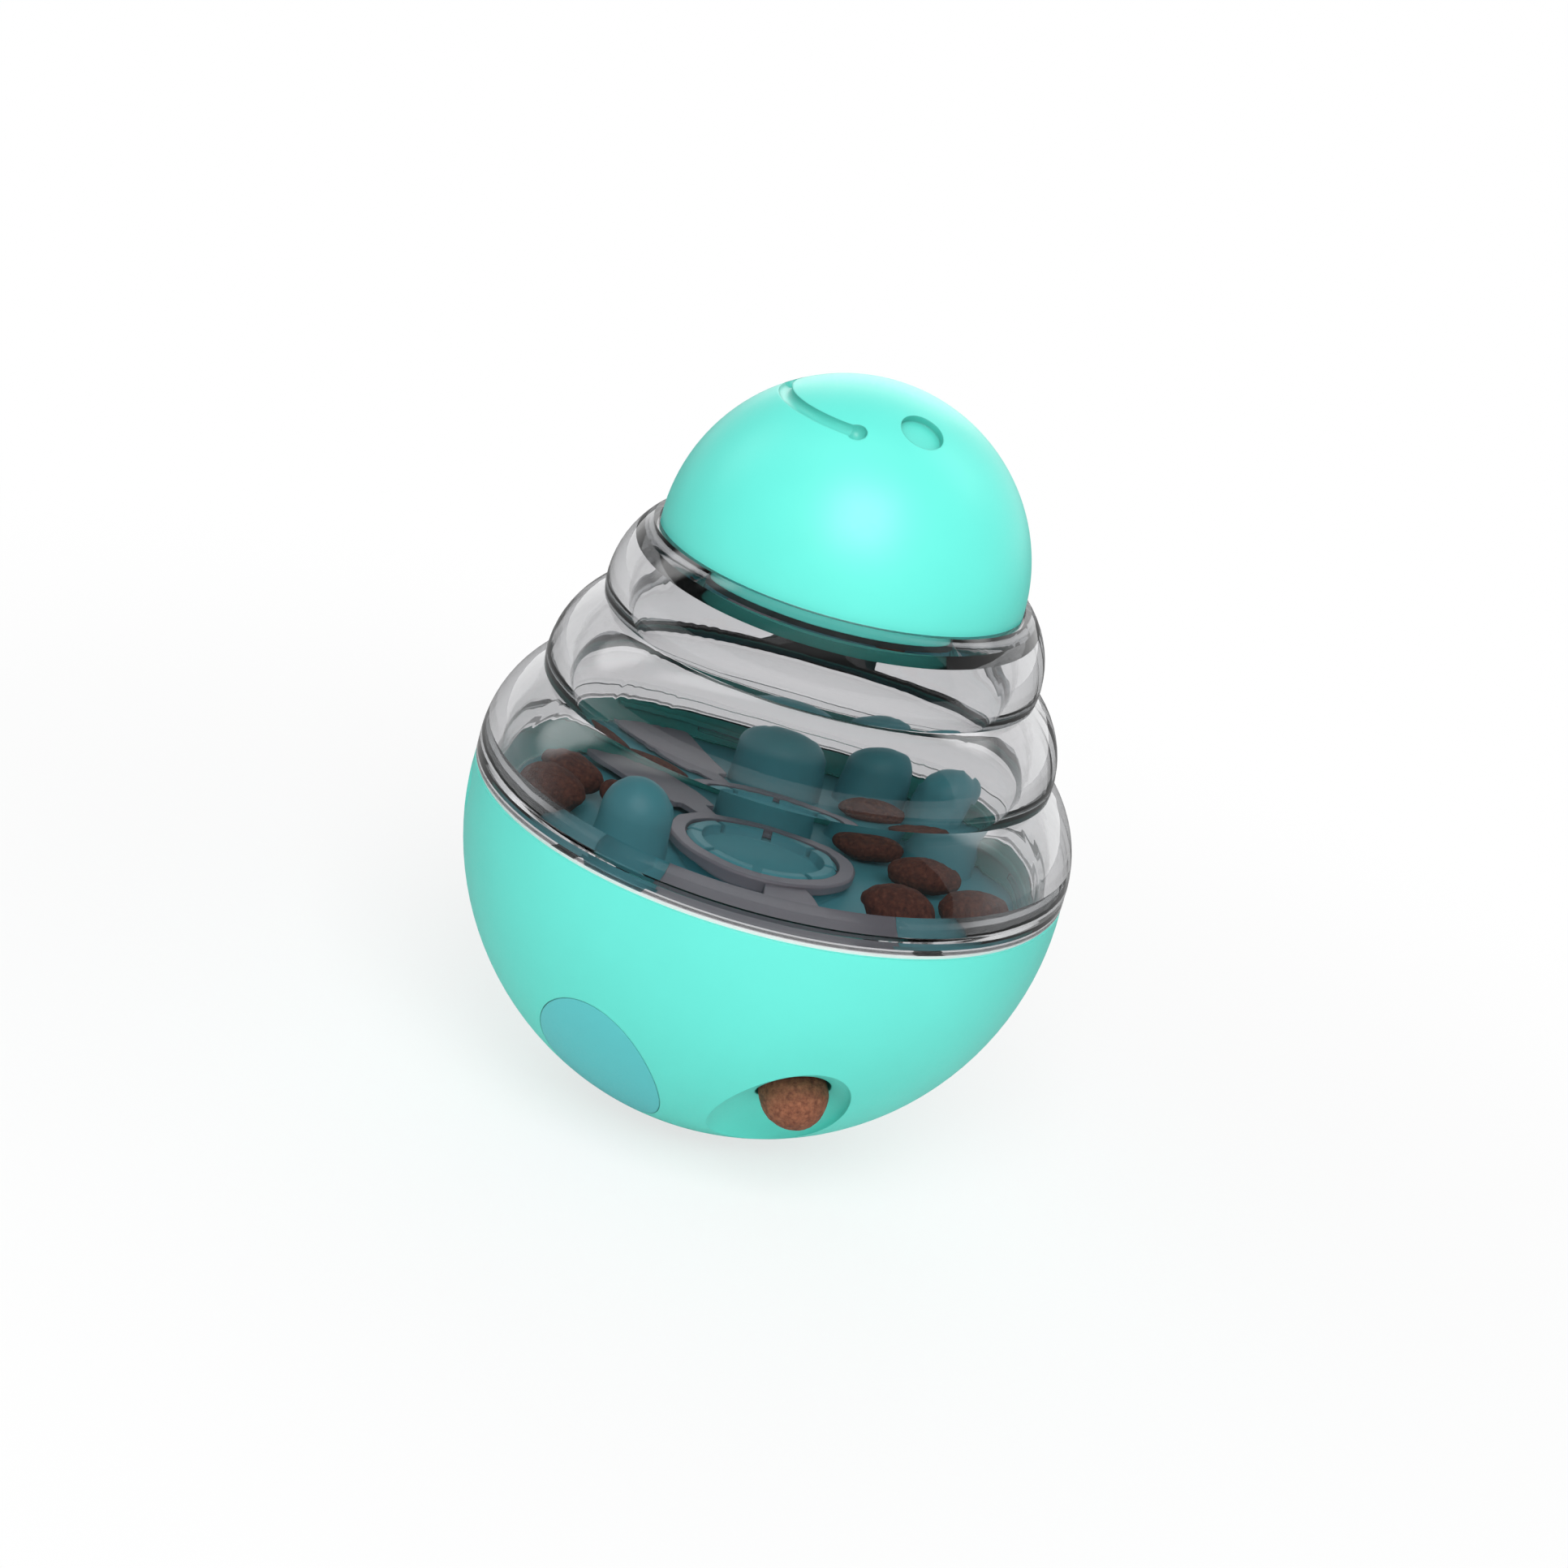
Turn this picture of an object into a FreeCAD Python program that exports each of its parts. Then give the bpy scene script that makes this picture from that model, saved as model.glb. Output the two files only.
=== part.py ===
import FreeCAD, Part
import Sketcher
import math
import os

# A treat-dispensing tumbler: a weighted bowl, a smoked clear cover with three ribs that screws
# on to it, and a dome cap. Treats lie on a tray inside, drop through it when the gate is turned,
# and leave the bowl by the outlet low on its side.
# Millimetres. The foot is at height 0, the axis is Z and the outlet's side faces -Y.

os.makedirs("parts", exist_ok=True)
doc = FreeCAD.newDocument("treat_tumbler")
sheet = doc.addObject("Spreadsheet::Sheet", "Sizes")

SIZES = [
    # bowl
    ("ball_radius", 52.5, "outside radius of the bowl"),
    ("foot_radius", 8.0, "radius of the small flat that the bowl stands on"),
    ("rim_rise", 2.8, "height of the rim above the ball's centre"),
    ("bowl_wall", 2.1, "wall of the bowl"),
    ("rim_wall", 2.6, "wall of the bowl at its rim"),
    ("bead_reach", 0.6, "how far the snap bead above the tray stands in"),
    ("bead_height", 0.8, "height of the snap bead"),
    ("bead_gap", 0.1, "room between the tray's edge and the snap bead"),
    ("rest_count", 6, "ribs that carry the tray"),
    ("rest_thick", 2.0, "thickness of a tray rib"),
    ("rest_reach", 4.0, "how far a tray rib stands in from the bore"),
    ("rest_drop", 12.0, "height of a tray rib"),
    # outlet, its scoop and the finger dimple
    ("outlet_radius", 6.4, "radius of the outlet hole"),
    ("outlet_turn", -65.8, "direction of the outlet about the axis, degrees"),
    ("outlet_dip", 37.0, "angle of the outlet below the ball's centre, degrees"),
    ("scoop_turn", -69.4, "direction of the scoop's middle, degrees"),
    ("scoop_dip", 41.6, "angle of the scoop's middle below the ball's centre, degrees"),
    ("scoop_heading", -4.0, "heading of the scoop's length, degrees"),
    ("scoop_tilt", 12.0, "how far the scoop leans into the bowl on its right, degrees"),
    ("scoop_length", 17.9, "half length of the scoop around the outlet"),
    ("scoop_width", 12.2, "half width of the scoop"),
    ("scoop_depth", 5.0, "depth of the scoop"),
    ("scoop_wall", 2.0, "wall behind the scoop"),
    ("scoop_gap", 0.5, "gap between the weight cover and the wall behind the scoop"),
    ("dimple_turn", -170.0, "direction of the finger dimple, degrees"),
    ("dimple_radius", 9.0, "radius of the finger dimple's ball"),
    ("dimple_depth", 1.3, "depth of the finger dimple"),
    ("dimple_drop", 6.0, "middle of the finger dimple below the rim"),
    # inlaid oval side disc
    ("disc_length", 17.5, "half length of the oval side disc"),
    ("disc_width", 12.0, "half width of the side disc"),
    ("disc_thick", 0.9, "thickness of the side disc"),
    ("disc_gap", 0.1, "gap around and behind the side disc"),
    ("disc_turn", -116.2, "direction of the side disc, degrees"),
    ("disc_dip", 42.1, "angle of the side disc below the ball's centre, degrees"),
    ("disc_heading", -5.4, "heading of the side disc's length, degrees"),
    ("disc_column", 20.0, "half height of the rounded column that the disc's outline is cut from"),
    # counterweight, its cover and screws
    ("weight_radius", 23.5, "radius of the counterweight"),
    ("weight_gap", 0.3, "gap between the counterweight and the bowl and cover"),
    ("cover_seat", 14.3, "height of the screw bosses' tops"),
    ("cover_gap", 0.4, "gap between the weight cover and the bowl"),
    ("cover_edge", 1.8, "thickness of the weight cover at its edge"),
    ("cover_rise", 3.0, "how much higher the cover's middle is than its edge"),
    ("cover_wall", 2.0, "wall of the weight cover's middle"),
    ("boss_count", 3, "screw bosses in the bowl"),
    ("boss_circle", 27.0, "radius of the circle of screw bosses"),
    ("boss_radius", 2.6, "radius of a screw boss"),
    ("boss_turn", -8.0, "direction of the first screw boss, degrees"),
    ("screw_radius", 0.95, "radius of a screw's shank"),
    ("screw_fit", 0.05, "gap between a screw's shank and its hole"),
    ("screw_depth", 3.2, "how deep a screw reaches into its boss"),
    ("head_radius", 2.1, "radius of a screw's head"),
    ("head_height", 1.3, "height of a screw's head"),
    ("head_gap", 0.3, "gap around a screw's head"),
    ("drive_radius", 1.1, "radius of the six-sided socket in a screw's head"),
    ("drive_depth", 0.8, "depth of the socket in a screw's head"),
    # tray, its pegs, drop hole and pivot
    ("tray_depth", 7.5, "top of the tray's floor below the rim"),
    ("tray_floor", 2.4, "thickness of the tray's floor"),
    ("tray_gap", 0.35, "gap between the tray's edge and the bowl"),
    ("drop_radius", 5.0, "radius of the drop hole"),
    ("drop_reach", 34.0, "distance of the drop hole from the axis"),
    ("drop_turn", -106.5, "direction of the drop hole, degrees"),
    ("pad_radius", 15.6, "radius of the raised pad that the gate turns on"),
    ("pad_height", 1.4, "height of the raised pad"),
    ("pivot_wall", 1.7, "wall of the tray's pivot collar"),
    ("pivot_slots", 8, "slots that let the pivot collar spring"),
    ("slot_width", 1.2, "width of a slot in the pivot collar"),
    ("dish_depth", 1.6, "depth of the dish in the pivot collar"),
    ("peg_wall", 1.8, "wall of the hollow pegs"),
    ("peg_taper", 0.7, "how much narrower a peg is where its round top starts"),
    ("peg_dome", 6.5, "height of a peg's round top"),
    # gate
    ("gate_thick", 1.2, "thickness of the gate's blades"),
    ("gate_lift", 0.2, "running gap between the raised pad and the gate"),
    ("gate_gap", 0.7, "gap between the gate and the cover's spigot"),
    ("gate_round", 1.0, "radius of the rounded corners of the gate's blades"),
    ("hub_bore", 12.7, "radius of the bore of the gate's hub"),
    ("hub_radius", 16.6, "outside radius of the gate's hub"),
    ("hub_height", 1.9, "height of the gate's hub"),
    ("hub_chamfer", 0.4, "chamfer around the hub's top"),
    ("hub_fit", 0.08, "running gap between the pivot and the hub's bore"),
    ("snap_reach", 0.9, "how far the pivot's snap edge reaches over the hub's step"),
    ("snap_height", 0.7, "height of the pivot's snap edge"),
    ("snap_gap", 0.2, "gap around the snap edge"),
    ("slot_radius", 22.8, "radius where the gate's blades start"),
    ("front_left_inner", -123.5, "direction of the front blade's left inner corner, degrees"),
    ("front_left_outer", -110.5, "direction of the front blade's left outer corner, degrees"),
    ("front_right_outer", -53.0, "direction of the front blade's right outer corner, degrees"),
    ("front_right_inner", -43.0, "direction of the front blade's right inner corner, degrees"),
    ("front_right_reach", 31.0, "distance of the front blade's right inner corner from the axis"),
    ("front_neck_left", -84.0, "left edge of the front blade's neck, degrees"),
    ("front_neck_right", -58.0, "right edge of the front blade's neck, degrees"),
    ("back_right", 116.0, "right edge of the back blade, degrees"),
    ("back_left", 141.0, "left edge of the back blade, degrees"),
    ("back_neck_right", 122.0, "right edge of the back blade's neck, degrees"),
    ("back_neck_left", 135.0, "left edge of the back blade's neck, degrees"),
    # thread and seal between bowl and cover
    ("thread_lead", 20.0, "rise of the cover in one turn"),
    ("thread_starts", 4, "starts of the thread"),
    ("thread_reach", 0.8, "how far a thread stands out of its wall"),
    ("thread_thick", 1.2, "thickness of a thread"),
    ("thread_gap", 0.3, "gap between the threads and the walls they face"),
    ("thread_play", 0.2, "gap between a lug and the ramp above it"),
    ("thread_foot", 4.2, "low end of a ramp below the rim"),
    ("thread_root", 0.4, "how far a thread is sunk in its own wall"),
    ("ramp_angle", 45.0, "length of a ramp in the bowl, degrees"),
    ("lug_angle", 22.0, "length of a lug on the cover, degrees"),
    ("seal_thick", 0.8, "thickness of the seal ring"),
    ("seal_width", 2.0, "width of the seal ring"),
    ("seal_inset", 0.5, "how far the seal ring's edge lies back from the bowl's"),
    # ribbed cover, heights above the rim
    ("cover_shell", 4.4, "wall of the ribbed cover"),
    ("spigot_wall", 1.6, "wall of the cover's spigot"),
    ("spigot_depth", 6.1, "depth of the cover's spigot below the rim"),
    ("band_height", 3.0, "height of the plain band at the cover's foot"),
    ("band_groove", 0.5, "depth of the groove above the band"),
    ("foot_flange", 6.0, "height where the cover's inner wall starts"),
    ("foot_slope", 1.0, "height where the foot's inner slope meets the spigot"),
    ("valley_one_height", 19.3, "height of the lower valley"),
    ("valley_one_radius", 44.9, "radius of the lower valley"),
    ("valley_two_height", 34.1, "height of the upper valley"),
    ("valley_two_radius", 38.0, "radius of the upper valley"),
    ("valley_ridge", 0.5, "how much thicker the ribbed cover's wall is at a valley"),
    ("valley_drop", 2.0, "how much lower a valley is on the inside"),
    ("rib_one_bend", 21.0, "radius of the lowest rib's bulge"),
    ("rib_two_bend", 16.5, "radius of the middle rib's bulge"),
    ("rib_three_bend", 17.0, "radius of the top rib's bulge"),
    ("neck_height", 48.6, "height of the neck's lip"),
    ("neck_lip", 1.0, "thickness of the neck's lip"),
    ("ledge_height", 44.8, "height of the ledge in the neck"),
    ("ledge_thick", 2.2, "thickness of the ledge"),
    ("ledge_wall", 0.1, "wall's inner edge outside the dome's socket, just below the ledge"),
    ("ledge_reach", 4.0, "how far the ledge stands in from the dome's socket"),
    # dome cap, its plug and seal
    ("dome_radius", 31.7, "outside radius of the dome"),
    ("dome_wall", 2.4, "wall of the dome"),
    ("dome_gap", 0.3, "gap between the dome's skirt and the neck"),
    ("cap_seal_thick", 1.0, "thickness of the cap's seal"),
    ("cap_seal_gap", 0.15, "gap between the cap's seal and the plug"),
    ("plug_gap", 0.3, "gap between the plug and the neck's bore"),
    ("plug_wall", 1.8, "wall of the plug"),
    ("plug_reach", 3.4, "how far the plug reaches below the ledge's top"),
    ("plug_height", 8.6, "height of the plug"),
    ("plug_flange", 2.0, "height of the plug's flange"),
    ("plug_weld", 0.1, "gap between the plug's flange and the dome"),
    # face on the dome
    ("face_turn", -150.0, "direction of the middle of the mouth, degrees"),
    ("mouth_reach", 17.2, "distance of the mouth from the axis"),
    ("mouth_span", 96.0, "angle of the mouth about the axis"),
    ("mouth_width", 1.2, "half width of the mouth's groove"),
    ("mouth_end", 1.7, "radius of the dimples at the mouth's ends"),
    ("eye_reach", 13.9, "distance of an eye from the axis"),
    ("eye_spread", 89.0, "angle from the middle of the mouth to an eye"),
    ("eye_radius", 3.8, "radius of an eye's recess"),
    ("eye_depth", 1.5, "depth of an eye's recess"),
]

# name, place between the gate's hub (0) and the tray's edge (1), direction, radius at the foot,
# height above the tray's floor
PEGS = [
    ("front", 0.452, -133.0, 6.8, 17.5),
    ("middle", 0.288, 93.0, 9.0, 17.5),
    ("back", 0.647, 63.8, 7.1, 17.0),
    ("right", 0.693, 38.5, 7.0, 17.5),
]

# name, place between the gate's hub (0) and the tray's edge (1), direction, heading of its length,
# and whether it rests on the gate (1) or the tray (0)
TREATS = [
    ("right_front", 0.452, -40.5, -19.0, 1),
    ("right_side", 0.650, -9.0, 26.0, 0),
    ("right_middle", 0.370, 13.0, -4.0, 0),
    ("right_back", 0.270, 46.6, 5.0, 0),
    ("left_side", 0.662, -176.7, -20.0, 0),
    ("left_middle", 0.629, 167.0, -30.0, 0),
    ("left_inner", 0.230, 172.6, -10.0, 0),
]
for peg_name, peg_share, peg_turn, peg_radius, peg_height in PEGS:
    SIZES.append((peg_name + "_peg_share", peg_share, "place of the peg between the hub and the edge"))
    SIZES.append((peg_name + "_peg_turn", peg_turn, "direction of the peg, degrees"))
    SIZES.append((peg_name + "_peg_radius", peg_radius, "radius of the peg at its foot"))
    SIZES.append((peg_name + "_peg_height", peg_height, "height of the peg above the floor"))
SIZES.append(("treat_half_length", 6.6, "half length of a treat"))
SIZES.append(("treat_half_width", 4.6, "half width of a treat"))
SIZES.append(("treat_half_height", 3.7, "half height of a treat"))
SIZES.append(("treat_lift", 0.3, "gap under a treat"))
for treat_name, treat_share, treat_turn, treat_heading, on_gate in TREATS:
    SIZES.append((treat_name + "_share", treat_share, "place of the treat between the hub and the edge"))
    SIZES.append((treat_name + "_turn", treat_turn, "direction of the treat, degrees"))
    SIZES.append((treat_name + "_heading", treat_heading, "heading of the treat's length, degrees"))

for row, (alias, amount, meaning) in enumerate(SIZES, start=1):
    sheet.set("A%d" % row, alias)
    sheet.set("B%d" % row, str(amount))
    sheet.set("C%d" % row, meaning)
    sheet.setAlias("B%d" % row, alias)
doc.recompute()


def size(name):
    """A driving size, as an expression."""
    return "Sizes." + name


def amount_of(expression):
    """The number that an expression gives."""
    return float(sheet.evalExpression(str(expression)))


def total(*terms):
    """Expressions added up."""
    return "(" + " + ".join(str(term) for term in terms) + ")"


def less(first, *terms):
    """An expression with others taken off it."""
    return "(" + str(first) + " - " + " - ".join(str(term) for term in terms) + ")"


def leg(hypotenuse, other):
    """The third side of a right-angled triangle."""
    return "sqrt((%s)^2 - (%s)^2)" % (hypotenuse, other)


# Heights above the foot and radii that several pieces share
BALL_CENTRE = leg(size("ball_radius"), size("foot_radius"))
RIM = total(BALL_CENTRE, size("rim_rise"))
RIM_RADIUS = leg(size("ball_radius"), size("rim_rise"))
BORE = less(RIM_RADIUS, size("rim_wall"))
INNER_BALL = less(size("ball_radius"), size("bowl_wall"))
TRAY_TOP = less(RIM, size("tray_depth"))
TRAY_BOTTOM = less(TRAY_TOP, size("tray_floor"))
TRAY_RADIUS = less(BORE, size("tray_gap"))
PAD_TOP = total(TRAY_TOP, size("pad_height"))
GATE_BOTTOM = total(PAD_TOP, size("gate_lift"))
GATE_TOP = total(GATE_BOTTOM, size("gate_thick"))
HUB_TOP = total(GATE_BOTTOM, size("hub_height"))
SPIGOT = less(BORE, size("thread_reach"), size("thread_gap"))
SPIGOT_INSIDE = less(SPIGOT, size("spigot_wall"))
GATE_RADIUS = less(SPIGOT_INSIDE, size("gate_gap"))
FLANGE = total(RIM, size("seal_thick"))
LEDGE = total(RIM, size("ledge_height"))
SOCKET = total(size("dome_radius"), size("dome_gap"))
SKIRT_FOOT = total(LEDGE, size("cap_seal_thick"))
DOME_CENTRE = total(RIM, size("neck_height"))
NECK_BORE = less(SOCKET, size("ledge_reach"))
PLUG_RADIUS = less(NECK_BORE, size("plug_gap"))
PLUG_FOOT = less(LEDGE, size("plug_reach"))


def origin_plane(body, role):
    return [item for item in body.Origin.OriginFeatures if item.Role == role][0]


def new_body(label):
    body = doc.addObject("PartDesign::Body", label + "_body")
    body.Label = label
    return body


def flat_sketch(body, name, role):
    sketch = body.newObject("Sketcher::SketchObject", name)
    sketch.AttachmentSupport = [(origin_plane(body, role), "")]
    sketch.MapMode = "FlatFace"
    return sketch


def pin(sketch, edge, end, across, up):
    """Hold one end of an edge at a place in the sketch."""
    for kind, expression, axis in (("DistanceX", across, -2), ("DistanceY", up, -1)):
        if expression == "0":
            sketch.addConstraint(Sketcher.Constraint("PointOnObject", edge, end, axis))
            continue
        number = amount_of(expression)
        index = sketch.addConstraint(Sketcher.Constraint(kind, -1, 1, edge, end, number))
        sketch.setExpression("Constraints[%d]" % index, expression)


def profile(body, name, corners, role="XZ_Plane"):
    """A closed outline. Each corner is (across, up, bend), where bend is None for a straight edge
    to the next corner, or the radius of an arc that bulges to the right of the way round."""
    sketch = flat_sketch(body, name, role)
    count = len(corners)
    places = [(amount_of(across), amount_of(up)) for across, up, bend in corners]
    ends = []
    for index, (across, up, bend) in enumerate(corners):
        start = FreeCAD.Vector(places[index][0], places[index][1], 0)
        finish = FreeCAD.Vector(*places[(index + 1) % count], 0)
        if bend is None:
            edge = sketch.addGeometry(Part.LineSegment(start, finish), False)
            ends.append((edge, 1, 2))
            continue
        outward, bend_radius = bend
        radius = amount_of(bend_radius)
        along = finish - start
        normal = FreeCAD.Vector(-along.y, along.x, 0).normalize()
        middle = (start + finish) * 0.5
        reach = math.sqrt(radius ** 2 - (along.Length / 2) ** 2)
        centre = middle + normal * reach * outward
        first, last = (start, finish) if outward > 0 else (finish, start)
        first_angle = math.atan2(first.y - centre.y, first.x - centre.x)
        last_angle = math.atan2(last.y - centre.y, last.x - centre.x)
        circle = Part.Circle(centre, FreeCAD.Vector(0, 0, 1), radius)
        edge = sketch.addGeometry(Part.ArcOfCircle(circle, first_angle, last_angle), False)
        ends.append((edge, 1, 2) if outward > 0 else (edge, 2, 1))
        limit = sketch.addConstraint(Sketcher.Constraint("Radius", edge, radius))
        sketch.setExpression("Constraints[%d]" % limit, bend_radius)
    for index in range(count):
        edge, start_end, finish_end = ends[index]
        next_edge, next_start, next_finish = ends[(index + 1) % count]
        sketch.addConstraint(Sketcher.Constraint("Coincident", edge, finish_end, next_edge, next_start))
    for index, (across, up, bend) in enumerate(corners):
        edge, start_end, finish_end = ends[index]
        pin(sketch, edge, start_end, across, up)
    doc.recompute()
    return sketch


def turned(body, name, corners):
    """A solid of revolution about the axis."""
    revolution = body.newObject("PartDesign::Revolution", name)
    revolution.Profile = profile(body, name + "_profile", corners)
    revolution.ReferenceAxis = (revolution.Profile[0], ["V_Axis"])
    revolution.Angle = 360
    doc.recompute()
    return revolution


def out(radius):
    """A bend that bulges to the right of the way round the outline."""
    return (1, radius)


def hollow(radius):
    """A bend that bulges to the left of the way round the outline."""
    return (-1, radius)


def around(body, feature, name, count):
    """Copies of a feature, spread evenly about the axis."""
    pattern = body.newObject("PartDesign::PolarPattern", name)
    pattern.Originals = [feature]
    pattern.Axis = (origin_line(body), [""])
    pattern.Angle = 360
    pattern.setExpression("Occurrences", count)
    body.Tip = pattern
    doc.recompute()
    return pattern


def origin_line(body):
    return [item for item in body.Origin.OriginFeatures if item.Role == "Z_Axis"][0]


def primitive(body, kind, name, place, **amounts):
    """An additive or subtractive primitive with its sizes bound to the sheet."""
    feature = body.newObject("PartDesign::" + kind, name)
    for prop, expression in amounts.items():
        feature.setExpression(prop, str(expression))
    bind_place(feature, place)
    doc.recompute()
    return feature


def bind_place(feature, place):
    """Set a placement from (x, y, z) expressions and, where given, a rotation."""
    where, rotation = place
    if rotation is not None:
        feature.Placement = FreeCAD.Placement(FreeCAD.Vector(0, 0, 0), rotation)
    for axis, expression in zip("xyz", where):
        feature.setExpression("Placement.Base." + axis, str(expression))


def polar(reach, turn):
    """Across and along for a distance and a direction in degrees."""
    across = "(%s) * cos((%s) * 1deg)" % (reach, turn)
    along = "(%s) * sin((%s) * 1deg)" % (reach, turn)
    return across, along


def upright(reach, turn, height):
    across, along = polar(reach, turn)
    return ((across, along, height), None)


def across_tray(share):
    """Distance from the axis of a place between the gate's hub (0) and the tray's edge (1)."""
    return "(%s + %s * %s)" % (size("hub_radius"), share, less(TRAY_RADIUS, size("hub_radius")))


def facing(turn, dip, heading="0", tilt="0"):
    """The rotation whose Z axis points out of the ball, turned about that axis by the heading
    and then tilted to its right."""
    lean = FreeCAD.Rotation(FreeCAD.Vector(0, 1, 0), 90 + amount_of(dip))
    swing = FreeCAD.Rotation(FreeCAD.Vector(0, 0, 1), amount_of(turn))
    spin = FreeCAD.Rotation(FreeCAD.Vector(0, 0, 1), amount_of(heading))
    tip = FreeCAD.Rotation(FreeCAD.Vector(1, 0, 0), -amount_of(tilt))
    return swing.multiply(lean).multiply(spin).multiply(tip)


def on_ball(distance, turn, dip, heading="0", tilt="0"):
    """A place at a distance from the ball's centre, facing out of the ball."""
    level = "((%s) * cos((%s) * 1deg))" % (distance, dip)
    across, along = polar(level, turn)
    up = "(%s) - (%s) * sin((%s) * 1deg)" % (BALL_CENTRE, distance, dip)
    return ((across, along, up), facing(turn, dip, heading, tilt))


def thread(body, name, outline, angle):
    """One helical thread segment, repeated for each start."""
    helix = body.newObject("PartDesign::AdditiveHelix", name)
    helix.Profile = profile(body, name + "_profile", outline)
    helix.ReferenceAxis = (helix.Profile[0], ["V_Axis"])
    helix.Mode = 0
    helix.setExpression("Pitch", size("thread_lead"))
    helix.setExpression("Height", "%s * %s / 360" % (size("thread_lead"), angle))
    helix.Reversed = False
    body.Tip = helix
    doc.recompute()
    return around(body, helix, name + "_starts", size("thread_starts"))


# The space inside the bowl, with a dent where the wall backs the outlet's scoop
scoop_way = (size("scoop_turn"), size("scoop_dip"), size("scoop_heading"), size("scoop_tilt"))
cavity = new_body("bowl_cavity")
bead_low = total(TRAY_TOP, size("bead_gap"))
bead_middle = total(bead_low, size("bead_height") + " / 2")
bead_high = total(bead_low, size("bead_height"))
cavity_top = total(RIM, size("bead_height"))
turned(cavity, "cavity_turned", [
    ("0", less(BALL_CENTRE, INNER_BALL), out(INNER_BALL)),
    (BORE, less(BALL_CENTRE, leg(INNER_BALL, BORE)), None),
    (BORE, bead_low, None),
    (less(BORE, size("bead_reach")), bead_middle, None),
    (BORE, bead_high, None),
    (BORE, cavity_top, None),
    ("0", cavity_top, None),
])
primitive(cavity, "SubtractiveEllipsoid", "scoop_backing", on_ball(size("ball_radius"), *scoop_way),
          Radius1=total(size("scoop_depth"), size("scoop_wall")),
          Radius2=total(size("scoop_length"), size("scoop_wall")),
          Radius3=total(size("scoop_width"), size("scoop_wall")))

# Bowl: a ball cut flat at the foot and at the rim, hollowed by the space inside
bowl = new_body("outer_bowl")
turned(bowl, "bowl_turned", [
    ("0", "0", None),
    (size("foot_radius"), "0", out(size("ball_radius"))),
    (RIM_RADIUS, RIM, None),
    ("0", RIM, None),
])
hollowing = bowl.newObject("PartDesign::Boolean", "bowl_hollowing")
hollowing.setObjects([cavity])
hollowing.Type = "Cut"
bowl.Tip = hollowing
doc.recompute()

# Ribs inside the bowl that carry the tray; they end inside the wall
mid_wall = less(size("ball_radius"), size("bowl_wall") + " / 2")
rest_foot = less(TRAY_BOTTOM, size("rest_drop"))
rest = bowl.newObject("PartDesign::Pad", "tray_rest")
rest.Profile = profile(bowl, "tray_rest_profile", [
    (less(BORE, size("rest_reach")), TRAY_BOTTOM, None),
    (leg(mid_wall, less(BALL_CENTRE, rest_foot)), rest_foot, None),
    (leg(mid_wall, less(BALL_CENTRE, TRAY_BOTTOM)), TRAY_BOTTOM, None),
])
rest.Midplane = True
rest.setExpression("Length", size("rest_thick"))
doc.recompute()
around(bowl, rest, "tray_rests", size("rest_count"))

# Screw bosses for the counterweight's cover; each starts in the wall
boss_foot = less(BALL_CENTRE, leg(mid_wall, total(size("boss_circle"), size("boss_radius"))))
boss = primitive(bowl, "AdditiveCylinder", "cover_boss",
                 upright(size("boss_circle"), size("boss_turn"), boss_foot),
                 Radius=size("boss_radius"), Height=less(size("cover_seat"), boss_foot))
around(bowl, boss, "cover_bosses", size("boss_count"))
pilot_depth = total(size("screw_depth"), size("head_gap"))
pilot = primitive(bowl, "SubtractiveCylinder", "cover_pilot",
                  upright(size("boss_circle"), size("boss_turn"), less(size("cover_seat"), pilot_depth)),
                  Radius=total(size("screw_radius"), size("screw_fit")), Height=pilot_depth)
around(bowl, pilot, "cover_pilots", size("boss_count"))

# Outlet: a long scoop outside and a round hole through its floor
primitive(bowl, "SubtractiveEllipsoid", "outlet_scoop", on_ball(size("ball_radius"), *scoop_way),
          Radius1=size("scoop_depth"), Radius2=size("scoop_length"), Radius3=size("scoop_width"))
hole_start = less(size("ball_radius"), size("scoop_depth"), size("scoop_wall"), size("scoop_wall"))
hole_length = total(size("scoop_depth"), size("scoop_depth"), size("scoop_wall"))
primitive(bowl, "SubtractiveCylinder", "outlet_hole",
          on_ball(hole_start, size("outlet_turn"), size("outlet_dip")),
          Radius=size("outlet_radius"), Height=hole_length)

# Pocket for the side disc and the finger dimple under the rim
disc_way = (size("disc_turn"), size("disc_dip"), size("disc_heading"))
disc_bed = less(size("ball_radius"), size("disc_thick"))
ball_middle = (("0", "0", BALL_CENTRE), None)
pocket = new_body("disc_pocket")
primitive(pocket, "AdditiveEllipsoid", "pocket_side", on_ball(size("ball_radius"), *disc_way),
          Radius1=total(size("disc_column"), size("disc_gap")),
          Radius2=total(size("disc_length"), size("disc_gap")),
          Radius3=total(size("disc_width"), size("disc_gap")))
primitive(pocket, "SubtractiveSphere", "pocket_floor", ball_middle, Radius=less(disc_bed, size("disc_gap")))
pocketing = bowl.newObject("PartDesign::Boolean", "disc_pocketing")
pocketing.setObjects([pocket])
pocketing.Type = "Cut"
bowl.Tip = pocketing
doc.recompute()
dimple_height = less(RIM, size("dimple_drop"))
dimple_wall = leg(size("ball_radius"), less(dimple_height, BALL_CENTRE))
primitive(bowl, "SubtractiveSphere", "finger_dimple",
          upright(total(dimple_wall, size("dimple_radius"), "0 - " + size("dimple_depth")),
                  size("dimple_turn"), dimple_height),
          Radius=size("dimple_radius"))

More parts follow.
